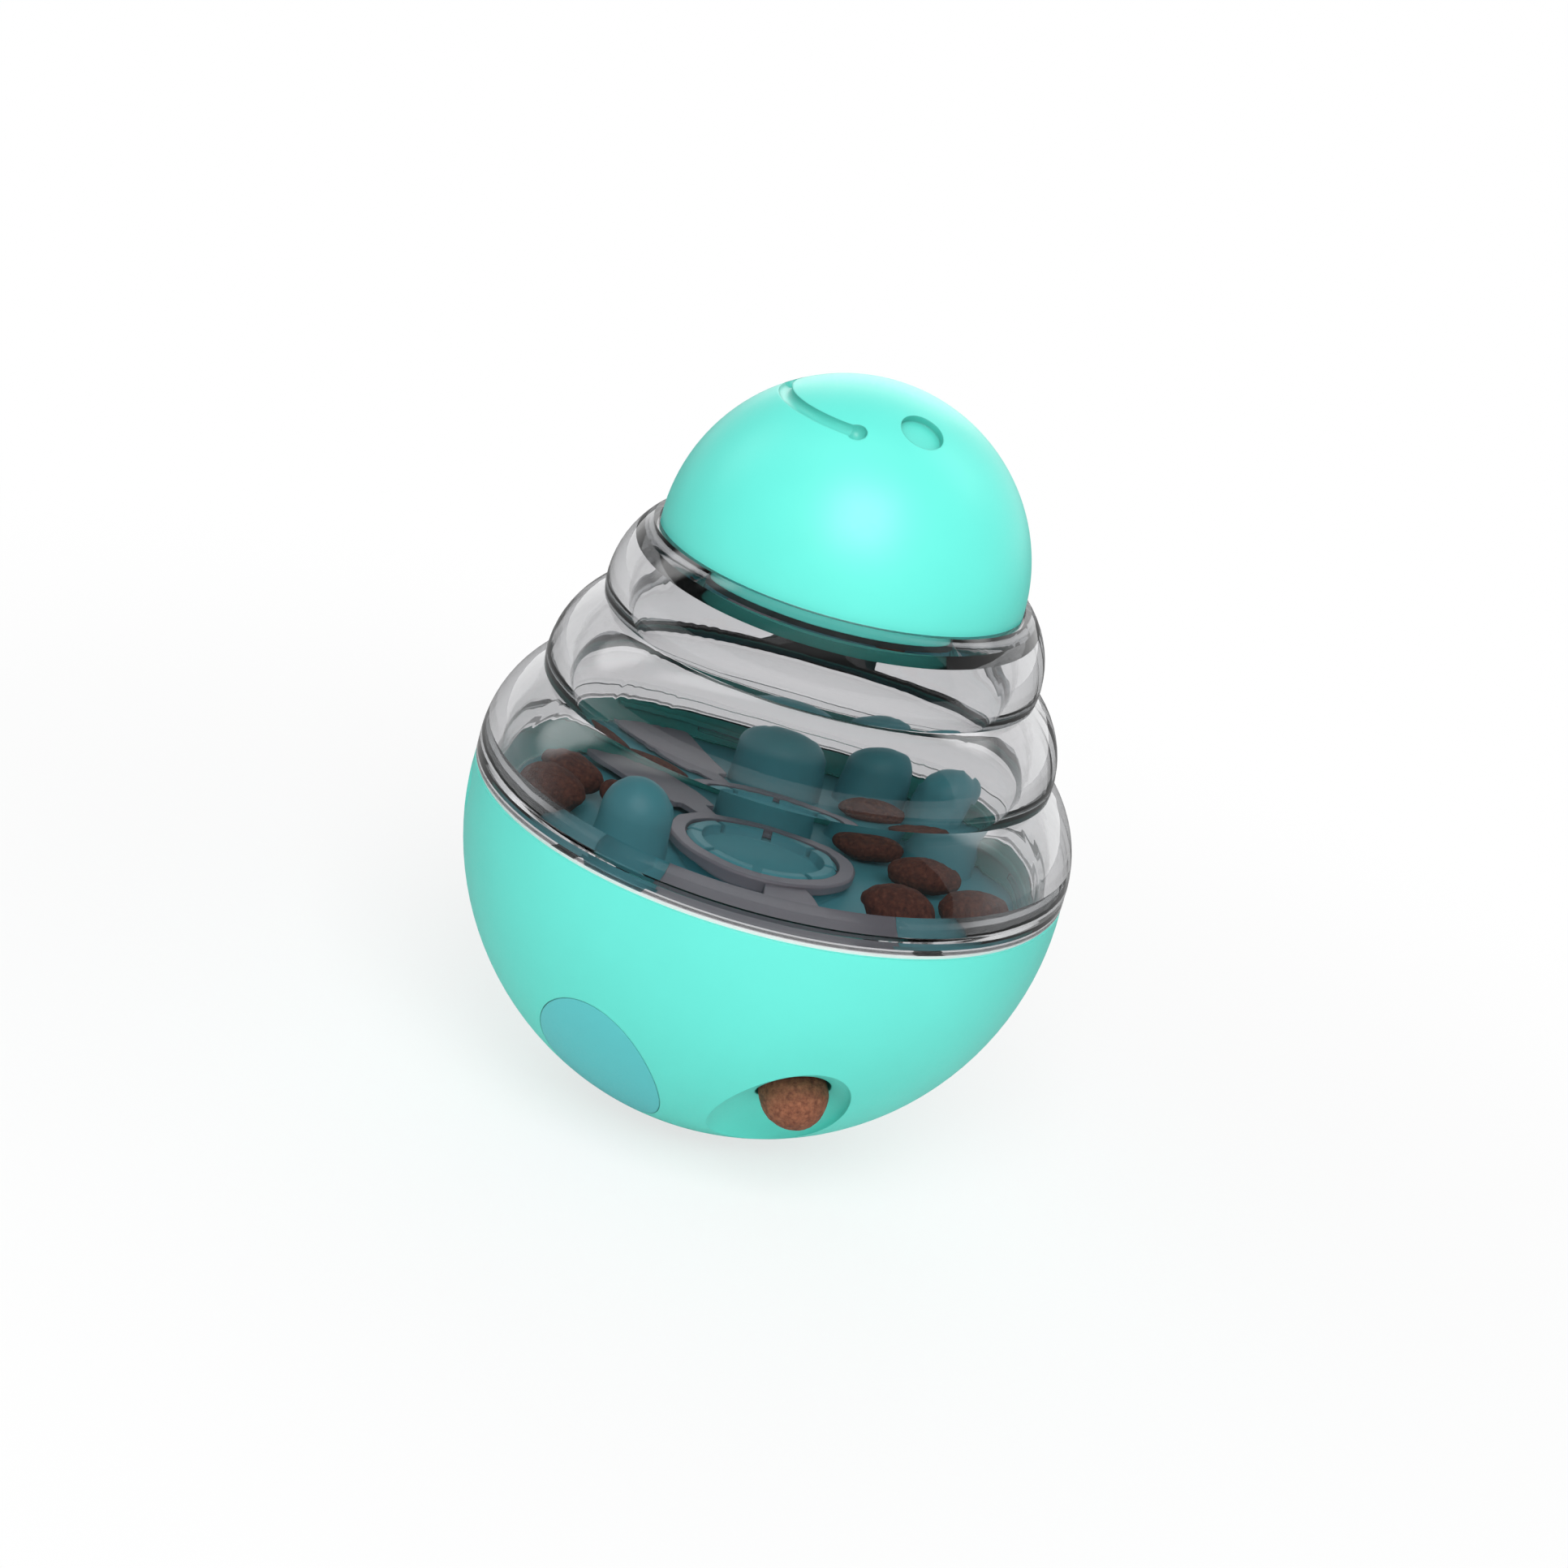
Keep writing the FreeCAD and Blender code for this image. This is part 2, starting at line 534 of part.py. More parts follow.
# Ramps of the thread, inside the rim
ramp_low = less(RIM, size("thread_foot"))
ramp_high = total(ramp_low, size("thread_thick"))
ramp_tip = less(BORE, size("thread_reach"))
bowl_root = total(BORE, size("thread_root"))
thread(bowl, "rim_ramp", [
    (ramp_tip, ramp_low, None),
    (bowl_root, ramp_low, None),
    (bowl_root, ramp_high, None),
    (ramp_tip, ramp_high, None),
], size("ramp_angle"))

# Side disc, flush in its pocket
disc_ball = new_body("disc_outside")
primitive(disc_ball, "AdditiveSphere", "outside_of_ball", ball_middle, Radius=size("ball_radius"))
disc = new_body("side_disc")
primitive(disc, "AdditiveEllipsoid", "disc_side", on_ball(size("ball_radius"), *disc_way),
          Radius1=size("disc_column"), Radius2=size("disc_length"), Radius3=size("disc_width"))
primitive(disc, "SubtractiveSphere", "disc_back", ball_middle, Radius=disc_bed)
rounded = disc.newObject("PartDesign::Boolean", "disc_rounding")
rounded.setObjects([disc_ball])
rounded.Type = "Common"
disc.Tip = rounded
doc.recompute()

# Counterweight: a round slug with the bowl's own curve underneath
weight = new_body("counterweight")
weight_ball = less(INNER_BALL, size("weight_gap"))
weight_top = less(size("cover_seat"), size("weight_gap"))
turned(weight, "weight_turned", [
    ("0", less(BALL_CENTRE, weight_ball), out(weight_ball)),
    (size("weight_radius"), less(BALL_CENTRE, leg(weight_ball, size("weight_radius"))), None),
    (size("weight_radius"), weight_top, None),
    ("0", weight_top, None),
])

# Cover over the counterweight: a shallow cone that sends treats to the wall
cover = new_body("weight_cover")
edge_top = total(size("cover_seat"), size("cover_edge"))
cover_radius = less(leg(INNER_BALL, less(BALL_CENTRE, size("cover_seat"))), size("cover_gap"))
crown_top = total(edge_top, size("cover_rise"))
recess_radius = total(size("weight_radius"), size("weight_gap"))
turned(cover, "cover_turned", [
    ("0", less(crown_top, size("cover_wall")), None),
    (recess_radius, size("cover_seat"), None),
    (cover_radius, size("cover_seat"), None),
    (cover_radius, edge_top, None),
    ("0", crown_top, None),
])
primitive(cover, "SubtractiveEllipsoid", "scoop_clearance", on_ball(size("ball_radius"), *scoop_way),
          Radius1=total(size("scoop_depth"), size("scoop_wall"), size("scoop_gap")),
          Radius2=total(size("scoop_length"), size("scoop_wall"), size("scoop_gap")),
          Radius3=total(size("scoop_width"), size("scoop_wall"), size("scoop_gap")))
hole_foot = less(size("cover_seat"), size("cover_edge"))
cover_hole = primitive(cover, "SubtractiveCylinder", "cover_hole",
                       upright(size("boss_circle"), size("boss_turn"), hole_foot),
                       Radius=total(size("screw_radius"), size("screw_fit")),
                       Height=total(size("cover_edge"), size("cover_edge"), size("cover_rise")))
around(cover, cover_hole, "cover_holes", size("boss_count"))
head_seat = total(size("cover_seat"), size("cover_edge") + " / 2")
head_hole = primitive(cover, "SubtractiveCylinder", "cover_head_hole",
                      upright(size("boss_circle"), size("boss_turn"), head_seat),
                      Radius=total(size("head_radius"), size("head_gap")),
                      Height=total(size("cover_edge"), size("cover_rise")))
around(cover, head_hole, "cover_head_holes", size("boss_count"))

# Tray: floor, drop hole, four hollow pegs and a slotted pivot collar with a dish in it
tray = new_body("maze_tray")
pivot_radius = less(size("hub_bore"), size("hub_fit"))
step_height = less(HUB_TOP, size("snap_height"), size("snap_gap"))
snap_foot = total(step_height, size("snap_gap"))
snap_top = total(snap_foot, size("snap_height"))
snap_radius = total(pivot_radius, size("snap_reach"))
collar_inside = less(pivot_radius, size("pivot_wall"))
dish_edge = less(PAD_TOP, size("gate_lift"))
dish_bend = "((%s)^2 + %s^2) / (2 * %s)" % (collar_inside, size("dish_depth"), size("dish_depth"))
turned(tray, "tray_turned", [
    ("0", TRAY_BOTTOM, None),
    (TRAY_RADIUS, TRAY_BOTTOM, None),
    (TRAY_RADIUS, TRAY_TOP, None),
    (size("pad_radius"), TRAY_TOP, None),
    (size("pad_radius"), PAD_TOP, None),
    (pivot_radius, PAD_TOP, None),
    (pivot_radius, snap_foot, None),
    (snap_radius, snap_foot, None),
    (pivot_radius, snap_top, None),
    (collar_inside, snap_top, None),
    (collar_inside, dish_edge, hollow(dish_bend)),
    ("0", less(dish_edge, size("dish_depth")), None),
])
slot_reach = total(size("pivot_wall"), size("snap_reach"), size("slot_width"))
slot_place = ((less(collar_inside, size("slot_width") + " / 2"), "0 - %s / 2" % size("slot_width"),
               PAD_TOP), None)
slot_height = total(size("hub_height"), size("gate_lift"), size("snap_gap"))
slot = primitive(tray, "SubtractiveBox", "collar_slot", slot_place,
                 Length=slot_reach, Width=size("slot_width"), Height=slot_height)
around(tray, slot, "collar_slots", size("pivot_slots"))
drop_foot = less(TRAY_BOTTOM, size("tray_floor"))
primitive(tray, "SubtractiveCylinder", "drop_hole",
          upright(size("drop_reach"), size("drop_turn"), drop_foot),
          Radius=size("drop_radius"), Height="3 * " + size("tray_floor"))
for peg_name, peg_share, peg_turn, peg_radius, peg_height in PEGS:
    peg = size(peg_name + "_peg_")
    shoulder = less(peg + "height", size("peg_dome"))
    neck = less(peg + "radius", size("peg_taper"))
    centre = (across_tray(peg + "share"), peg + "turn")
    primitive(tray, "AdditiveCone", peg_name + "_peg_side", upright(*centre, TRAY_TOP),
              Radius1=peg + "radius", Radius2=neck, Height=shoulder)
    primitive(tray, "AdditiveEllipsoid", peg_name + "_peg_top", upright(*centre, total(TRAY_TOP, shoulder)),
              Radius1=size("peg_dome"), Radius2=neck, Radius3=neck)
    primitive(tray, "SubtractiveCone", peg_name + "_peg_hollow", upright(*centre, TRAY_BOTTOM),
              Radius1=less(peg + "radius", size("peg_wall")), Radius2=less(neck, size("peg_wall")),
              Height=total(size("tray_floor"), shoulder))


def set_primitive(kind, name, amounts, place=None):
    """A plain Part primitive with its sizes bound to the sheet."""
    feature = doc.addObject("Part::" + kind, name)
    for prop, expression in amounts.items():
        feature.setExpression(prop, str(expression))
    if place is not None:
        bind_place(feature, place)
    return feature


def at(reach, turn):
    """A flat corner at a distance and a direction, with a straight edge after it."""
    return polar(reach, turn) + (None,)


def bent(reach, turn, bend):
    """A flat corner with an arc after it."""
    return polar(reach, turn) + (bend,)


def plate(body, name, corners, low, height):
    """A flat plate with the given outline, from one height up."""
    sketch = profile(body, name + "_outline", corners, "XY_Plane")
    sketch.setExpression("AttachmentOffset.Base.z", low)
    pad = body.newObject("PartDesign::Pad", name)
    pad.Profile = sketch
    pad.setExpression("Length", height)
    doc.recompute()
    return pad


def upright_edges(shape, nearest):
    """Names of the upright straight edges farther from the axis than a distance."""
    names = []
    for number, edge in enumerate(shape.Edges, start=1):
        first, last = edge.Vertexes[0].Point, edge.Vertexes[-1].Point
        level = math.hypot(first.x - last.x, first.y - last.y)
        if level < 0.001 and abs(first.z - last.z) > 0.1 and math.hypot(first.x, first.y) > nearest:
            names.append("Edge%d" % number)
    return names


# Gate: two flat blades that cover the drop hole, on a ring that turns on the pivot collar
gate = new_body("gate")
neck_inside = less(size("hub_radius"), size("hub_chamfer"), size("hub_chamfer"))
plate(gate, "front_blade", [
    at(neck_inside, size("front_neck_left")),
    bent(size("slot_radius"), size("front_neck_left"), hollow(size("slot_radius"))),
    at(size("slot_radius"), size("front_left_inner")),
    bent(GATE_RADIUS, size("front_left_outer"), out(GATE_RADIUS)),
    at(GATE_RADIUS, size("front_right_outer")),
    at(size("front_right_reach"), size("front_right_inner")),
    at(size("slot_radius"), size("front_neck_right")),
    at(neck_inside, size("front_neck_right")),
], GATE_BOTTOM, size("gate_thick"))
turned(gate, "hub_turned", [
    (size("hub_bore"), GATE_BOTTOM, None),
    (size("hub_radius"), GATE_BOTTOM, None),
    (size("hub_radius"), less(HUB_TOP, size("hub_chamfer")), None),
    (less(size("hub_radius"), size("hub_chamfer")), HUB_TOP, None),
    (total(snap_radius, size("snap_gap")), HUB_TOP, None),
    (total(snap_radius, size("snap_gap")), step_height, None),
    (size("hub_bore"), step_height, None),
])
square_gate = plate(gate, "back_blade", [
    at(neck_inside, size("back_neck_right")),
    at(size("slot_radius"), size("back_neck_right")),
    at(size("slot_radius"), size("back_right")),
    bent(GATE_RADIUS, size("back_right"), out(GATE_RADIUS)),
    at(GATE_RADIUS, size("back_left")),
    at(size("slot_radius"), size("back_left")),
    at(size("slot_radius"), size("back_neck_left")),
    at(neck_inside, size("back_neck_left")),
], GATE_BOTTOM, size("gate_thick"))
between = "(%s + %s) / 2" % (size("hub_radius"), size("slot_radius"))
rounding = gate.newObject("PartDesign::Fillet", "blade_corners")
rounding.Base = (square_gate, upright_edges(square_gate.Shape, amount_of(between)))
rounding.setExpression("Radius", size("gate_round"))
gate.Tip = rounding
doc.recompute()

# Seal ring between the bowl's rim and the cover's foot
seal = new_body("seal_ring")
seal_outside = less(RIM_RADIUS, size("seal_inset"))
seal_inside = less(seal_outside, size("seal_width"))
turned(seal, "seal_turned", [
    (seal_inside, RIM, None),
    (seal_outside, RIM, None),
    (seal_outside, FLANGE, None),
    (seal_inside, FLANGE, None),
])

# Ribbed cover: spigot, plain band, three ribs with sharp valleys, and a neck with a ledge
shell = new_body("clear_cover")
band_top = total(RIM, size("band_height"))
groove_middle = total(band_top, size("band_groove"))
groove_top = total(groove_middle, size("band_groove"))
valley_one = total(RIM, size("valley_one_height"))
valley_two = total(RIM, size("valley_two_height"))
neck_top = total(RIM, size("neck_height"))
ledge_bottom = less(LEDGE, size("ledge_thick"))
wall = size("cover_shell")
turned(shell, "cover_shell_turned", [
    (SPIGOT_INSIDE, less(RIM, size("spigot_depth")), None),
    (SPIGOT, less(RIM, size("spigot_depth")), None),
    (SPIGOT, FLANGE, None),
    (RIM_RADIUS, FLANGE, None),
    (RIM_RADIUS, band_top, None),
    (less(RIM_RADIUS, size("band_groove")), groove_middle, None),
    (RIM_RADIUS, groove_top, out(size("rib_one_bend"))),
    (size("valley_one_radius"), valley_one, out(size("rib_two_bend"))),
    (size("valley_two_radius"), valley_two, out(size("rib_three_bend"))),
    (total(SOCKET, size("neck_lip")), neck_top, None),
    (SOCKET, neck_top, None),
    (SOCKET, LEDGE, None),
    (NECK_BORE, LEDGE, None),
    (NECK_BORE, ledge_bottom, None),
    (total(SOCKET, size("ledge_wall")), ledge_bottom, hollow(less(size("rib_three_bend"), wall))),
    (less(size("valley_two_radius"), wall, size("valley_ridge")), less(valley_two, size("valley_drop")),
     hollow(less(size("rib_two_bend"), wall))),
    (less(size("valley_one_radius"), wall, size("valley_ridge")), less(valley_one, size("valley_drop")),
     hollow(less(size("rib_one_bend"), wall))),
    (less(RIM_RADIUS, wall), total(RIM, size("foot_flange")), None),
    (SPIGOT_INSIDE, total(RIM, size("foot_slope")), None),
])
lug_high = less(ramp_low, size("thread_play"))
lug_low = less(lug_high, size("thread_thick"))
lug_tip = total(SPIGOT, size("thread_reach"))
shell_root = less(SPIGOT, size("thread_root"))
thread(shell, "spigot_lug", [
    (shell_root, lug_low, None),
    (lug_tip, lug_low, None),
    (lug_tip, lug_high, None),
    (shell_root, lug_high, None),
], size("lug_angle"))

# Dome cap: a half ball with a short skirt, a mouth groove and two eye recesses
dome = new_body("dome_cap")
dome_inside = less(size("dome_radius"), size("dome_wall"))
turned(dome, "dome_turned", [
    (dome_inside, SKIRT_FOOT, None),
    (size("dome_radius"), SKIRT_FOOT, None),
    (size("dome_radius"), DOME_CENTRE, out(size("dome_radius"))),
    ("0", total(DOME_CENTRE, size("dome_radius")), None),
    ("0", total(DOME_CENTRE, dome_inside), hollow(dome_inside)),
    (dome_inside, DOME_CENTRE, None),
])
mouth_height = total(DOME_CENTRE, leg(size("dome_radius"), size("mouth_reach")))
mouth_start = less(size("face_turn"), size("mouth_span") + " / 2")
mouth_rotation = FreeCAD.Rotation(FreeCAD.Vector(0, 0, 1), amount_of(mouth_start))
primitive(dome, "SubtractiveTorus", "mouth", (("0", "0", mouth_height), mouth_rotation),
          Radius1=size("mouth_reach"), Radius2=size("mouth_width"), Angle3=size("mouth_span"))
for end_name, half_sign in (("left", " - "), ("right", " + ")):
    end_turn = "(%s%s%s / 2)" % (size("face_turn"), half_sign, size("mouth_span"))
    primitive(dome, "SubtractiveSphere", "mouth_end_" + end_name,
              upright(size("mouth_reach"), end_turn, mouth_height), Radius=size("mouth_end"))
    eye_turn = "(%s%s%s)" % (size("face_turn"), half_sign, size("eye_spread"))
    eye_lean = "acos(%s / %s)" % (size("eye_reach"), size("dome_radius"))
    eye_way = facing(eye_turn, "0 - %s / 1deg" % eye_lean)
    eye_bed = less(size("dome_radius"), size("eye_depth"))
    bed_reach = "%s * %s / %s" % (eye_bed, size("eye_reach"), size("dome_radius"))
    eye_across, eye_along = polar(bed_reach, eye_turn)
    eye_up = total(DOME_CENTRE, leg(eye_bed, bed_reach))
    primitive(dome, "SubtractiveCylinder", "eye_" + end_name, ((eye_across, eye_along, eye_up), eye_way),
              Radius=size("eye_radius"), Height=total(size("eye_depth"), size("eye_radius")))

# Plug: a shallow cup that closes the dome and enters the neck
plug = new_body("cap_plug")
flange_top = total(PLUG_FOOT, size("plug_height"))
flange_foot = less(flange_top, size("plug_flange"))
flange_radius = less(dome_inside, size("plug_weld"))
plug_inside = less(PLUG_RADIUS, size("plug_wall"))
turned(plug, "plug_turned", [
    ("0", PLUG_FOOT, None),
    (PLUG_RADIUS, PLUG_FOOT, None),
    (PLUG_RADIUS, flange_foot, None),
    (flange_radius, flange_foot, None),
    (flange_radius, flange_top, None),
    (plug_inside, flange_top, None),
    (plug_inside, total(PLUG_FOOT, size("plug_wall")), None),
    ("0", total(PLUG_FOOT, size("plug_wall")), None),
])

# Cap seal: a flat ring on the plug, between the ledge and the dome's skirt
cap_seal = new_body("cap_seal")
cap_seal_inside = total(PLUG_RADIUS, size("cap_seal_gap"))
turned(cap_seal, "cap_seal_turned", [
    (cap_seal_inside, LEDGE, None),
    (size("dome_radius"), LEDGE, None),
    (size("dome_radius"), SKIRT_FOOT, None),
    (cap_seal_inside, SKIRT_FOOT, None),
])

# Treats: rounded kibble on the tray, one of them lying on the gate's blade
treat_pieces = []
for treat_name, treat_share, treat_turn, treat_heading, on_gate in TREATS:
    treat = size(treat_name)
    floor = GATE_TOP if on_gate else TRAY_TOP
    height = total(floor, size("treat_lift"), size("treat_half_height"))
    place = upright(across_tray(treat + "_share"), treat + "_turn", height)
    heading = FreeCAD.Rotation(FreeCAD.Vector(0, 0, 1), amount_of(treat + "_heading"))
    treat_pieces.append(set_primitive("Ellipsoid", "treat_" + treat_name, {
        "Radius1": size("treat_half_height"),
        "Radius2": size("treat_half_length"),
        "Radius3": size("treat_half_width"),
    }, (place[0], heading)))
treats = doc.addObject("Part::Compound", "treats")
treats.Links = treat_pieces
treats.Label = "treats"

# Screws that hold the weight cover: a flat head with a six-sided socket on a plain shank
shank_foot = less(size("cover_seat"), size("screw_depth"))
head_top = total(head_seat, size("head_height"))
screw_pieces = []
for number in range(int(amount_of(size("boss_count")))):
    direction = "(%s + 360 * %d / %s)" % (size("boss_turn"), number, size("boss_count"))
    shank = set_primitive("Cylinder", "screw_shank_%d" % number,
                          {"Radius": size("screw_radius"), "Height": less(head_seat, shank_foot)},
                          upright(size("boss_circle"), direction, shank_foot))
    head = set_primitive("Cylinder", "screw_head_%d" % number,
                         {"Radius": size("head_radius"), "Height": size("head_height")},
                         upright(size("boss_circle"), direction, head_seat))
    socket = set_primitive("Prism", "screw_socket_%d" % number,
                           {"Circumradius": size("drive_radius"), "Height": size("head_height")},
                           upright(size("boss_circle"), direction, less(head_top, size("drive_depth"))))
    whole = doc.addObject("Part::Fuse", "screw_whole_%d" % number)
    whole.Base = shank
    whole.Tool = head
    screw = doc.addObject("Part::Cut", "screw_%d" % number)
    screw.Base = whole
    screw.Tool = socket
    screw_pieces.append(screw)
screws = doc.addObject("Part::Compound", "cover_screws")
screws.Links = screw_pieces
screws.Label = "cover_screws"

doc.recompute()
SUB_PARTS = [bowl, disc, weight, cover, screws, tray, gate, seal, shell, dome, plug, cap_seal, treats]

for item in doc.Objects:
    if "Invalid" in item.State or "Error" in item.State:
        raise RuntimeError("%s didn't rebuild: %s" % (item.Label, item.State))
for part in SUB_PARTS:
    if part.Shape.isNull() or not part.Shape.isValid() or not part.Shape.Solids:
        raise RuntimeError(part.Label + " has no sound shape")
for part in SUB_PARTS:
    part.Shape.exportStep("parts/%s.step" % part.Label)
    box = part.Shape.BoundBox
    print("%-16s %2d solids %10.1f mm3  x %7.2f %7.2f  y %7.2f %7.2f  z %7.2f %7.2f" % (
        part.Label, len(part.Shape.Solids), part.Shape.Volume,
        box.XMin, box.XMax, box.YMin, box.YMax, box.ZMin, box.ZMax))
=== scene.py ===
"""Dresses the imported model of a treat-dispensing tumbler and sets a plain studio around it."""

import math
import bmesh
import bpy
from mathutils import Matrix, Vector


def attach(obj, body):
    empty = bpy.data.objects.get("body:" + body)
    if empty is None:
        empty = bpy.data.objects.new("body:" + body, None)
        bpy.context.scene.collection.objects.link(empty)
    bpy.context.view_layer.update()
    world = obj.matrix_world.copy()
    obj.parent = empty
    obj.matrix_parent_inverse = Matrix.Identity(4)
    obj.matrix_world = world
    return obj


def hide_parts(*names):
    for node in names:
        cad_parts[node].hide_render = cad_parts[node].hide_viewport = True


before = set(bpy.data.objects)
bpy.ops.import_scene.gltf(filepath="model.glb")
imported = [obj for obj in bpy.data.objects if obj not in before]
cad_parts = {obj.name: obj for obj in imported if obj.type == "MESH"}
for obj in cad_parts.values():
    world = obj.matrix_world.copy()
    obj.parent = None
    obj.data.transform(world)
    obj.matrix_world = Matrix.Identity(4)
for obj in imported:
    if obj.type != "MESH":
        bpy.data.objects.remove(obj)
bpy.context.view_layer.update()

bl_info = {
    "name": "Treat Tumbler",
    "version": (1, 0, 0),
    "blender": (4, 5, 0),
    "location": "3D View > Sidebar > Treat Tumbler",
    "description": "Finishes for a treat-dispensing tumbler and a plain studio around it",
    "category": "Object",
}

MM = 0.001
# Radius that moulded edges look rounded by
MOULDED_EDGE = 0.4 * MM
# How far painted shade reaches into a recess, and its tone as a share of the plain colour
RECESS_SHADE_REACH = 5 * MM
RECESS_SHADE_TONE = 0.3
RECESS_SHADE_SAMPLES = 6
BEVEL_SAMPLES = 4
# Colour that the clear cover's wall takes with depth
SMOKE_TONE = (0.48, 0.5, 0.51)
# Distance from the axis over which a seal's painted shade fades into its milky lip
RING_SHADE_TO_LIP = (51.75 * MM, 51.9 * MM)
CAP_SHADE_TO_LIP = (40 * MM, 41 * MM)
# Refractive indices
ABS_IOR = 1.53
POLYPROPYLENE_IOR = 1.49
POLYCARBONATE_IOR = 1.58
SILICONE_IOR = 1.41
KIBBLE_IOR = 1.45


def linear(hex_colour):
    """Linear red, green and blue for an sRGB hex colour."""
    parts = [int(hex_colour[i:i + 2], 16) / 255 for i in (0, 2, 4)]
    return tuple(v / 12.92 if v <= 0.04045 else ((v + 0.055) / 1.055) ** 2.4 for v in parts)


def opaque(colour):
    """A colour with full alpha, as a node's socket wants it."""
    return (colour[0], colour[1], colour[2], 1.0)


def shade(colour, factor):
    """A colour made darker or lighter by a factor."""
    return tuple(min(1.0, v * factor) for v in colour)


def node(tree, kind, settings=None, inputs=None):
    """Adds a node. Settings are its own properties. An input is a value, or a socket to link
    from."""
    made = tree.nodes.new(kind)
    for name, value in (settings or {}).items():
        setattr(made, name, value)
    for name, value in (inputs or {}).items():
        if isinstance(value, bpy.types.NodeSocket):
            tree.links.new(value, made.inputs[name])
        else:
            made.inputs[name].default_value = value
    return made


def calculated(tree, operation, first, second):
    """The result of a sum on two values or sockets."""
    return node(tree, "ShaderNodeMath", {"operation": operation}, {0: first, 1: second}).outputs[0]


# Settings


def colour_property(name, description, hex_colour):
    """A colour setting with its sRGB default."""
    return bpy.props.FloatVectorProperty(
        name=name, description=description, subtype="COLOR", size=3, min=0.0, max=1.0,
        default=linear(hex_colour))


def length_property(name, description, millimetres):
    """A length setting with its default in millimetres."""
    return bpy.props.FloatProperty(
        name=name, description=description, subtype="DISTANCE", unit="LENGTH", min=0.0,
        precision=5, default=millimetres * MM)


def amount_property(name, description, amount, most=100.0):
    """A plain number setting."""
    return bpy.props.FloatProperty(
        name=name, description=description, min=0.0, max=most, default=amount)


class TumblerColours(bpy.types.PropertyGroup):
    turquoise: colour_property("Turquoise", "Bowl, dome and plug", "66EBDB")
    blue: colour_property("Blue", "Inlaid side disc", "5CCFD2")
    teal: colour_property("Teal", "Tray and weight cover", "5BA9B3")
    grey: colour_property("Grey", "Gate", "8C8890")
    smoke: colour_property(
        "Smoke", "What each wall of the clear cover lets through at its surfaces", "F6F5F6")
    # Painted shade is part of the seals' smoky grey, for the little light between the parts
    silicone: colour_property("Silicone", "Seals", "2C3533")
    lip: colour_property("Lip", "Lip of the seal at the joint", "F2F1F0")
    iron: colour_property("Iron", "Counterweight", "4A4A4C")
    zinc: colour_property("Zinc", "Screws", "B9BABC")
    crumb: colour_property("Crumb", "Treat in the outlet, on its high spots", "A5684C")
    crust: colour_property("Crust", "Treat in the outlet, in its pits", "5E2E20")
    # Painted shade: darker kibble colours for the treats that lie in the cover's shade
    shaded_crumb: colour_property("Dark Crumb", "Treats on the tray, on their high spots", "7A4A3A")
    shaded_crust: colour_property("Dark Crust", "Treats on the tray, in their pits", "42201A")


class TumblerSizes(bpy.types.PropertyGroup):
    grain: length_property("Grain", "Spacing of the fine grain on moulded plastic", 0.45)
    treat_length: length_property("Treat Length", "Half length of a treat on the tray", 6.6)
    treat_width: length_property("Treat Width", "Half width of a treat on the tray", 4.6)
    treat_height: length_property("Treat Height", "Half height of a treat on the tray", 3.7)
    lump: length_property("Lump", "Height of the broad lumps on a treat", 0.9)
    crumb: length_property("Crumb", "Height of the crumbs on a treat", 0.35)
    smoke: amount_property(
        "Smoke", "How fast the clear cover darkens with its thickness", 65.0, 1000.0)
    inner_light: amount_property(
        "Inner Light", "Share of the light that each surface of the cover lets in", 0.9, 1.0)
    seed: bpy.props.IntProperty(name="Seed", description="Seed of the treats' shapes", default=5)


class TumblerStudio(bpy.types.PropertyGroup):
    fill: amount_property("Fill", "Level of the light from all around", 0.44)
    key: amount_property("Key", "Power of the main lamp, in watts", 9.5)
    back: amount_property("Back", "Power of the lamp behind the object, in watts", 2.5)
    dim: amount_property("Dim", "Level of the dim side of the studio, in reflections", 0.06, 1.0)
    mirrored: amount_property("Mirrored Floor", "Level of the floor in reflections", 0.25, 1.0)
    floor: colour_property("Floor", "The floor", "F4F4F4")


# Finishes


def surface(name):
    """A new material with its own Principled shader, and that shader."""
    material = bpy.data.materials.new(name)
    material.use_nodes = True
    shader = material.node_tree.nodes["Principled BSDF"]
    return material, material.node_tree, shader


def place(tree):
    """The place of a point in the object's own frame, in metres."""
    return node(tree, "ShaderNodeTexCoord").outputs["Object"]


def noise(tree, spacing, detail=2.0, roughness=0.5):
    """Noise whose blobs are about the given size in metres."""
    return node(tree, "ShaderNodeTexNoise", {}, {
        "Vector": place(tree), "Scale": 1.0 / spacing, "Detail": detail, "Roughness": roughness})


# Most of a noise lies between these two levels
NOISE_LOW = 0.3
NOISE_HIGH = 0.7


def varied(tree, source, low=0.0, high=1.0):
    """Maps the middle of a noise to a range."""
    return node(tree, "ShaderNodeMapRange", {}, {
        "Value": source, "From Min": NOISE_LOW, "From Max": NOISE_HIGH,
        "To Min": low, "To Max": high}).outputs[0]


def between(tree, factor, first, second):
    """A colour between two."""
    mix = node(tree, "ShaderNodeMix", {"data_type": "RGBA"}, {
        0: factor, 6: opaque(first), 7: opaque(second)})
    return mix.outputs[2]


def relief(tree, shader, source, height, strength=1.0, edge=0.0):
    """Fine relief, on edges that are rounded by the given radius."""
    bump = node(tree, "ShaderNodeBump", {}, {
        "Height": source, "Distance": height, "Strength": strength})
    if edge:
        rounded = node(tree, "ShaderNodeBevel", {"samples": BEVEL_SAMPLES}, {"Radius": edge})
        tree.links.new(rounded.outputs[0], bump.inputs["Normal"])
    tree.links.new(bump.outputs[0], shader.inputs["Normal"])


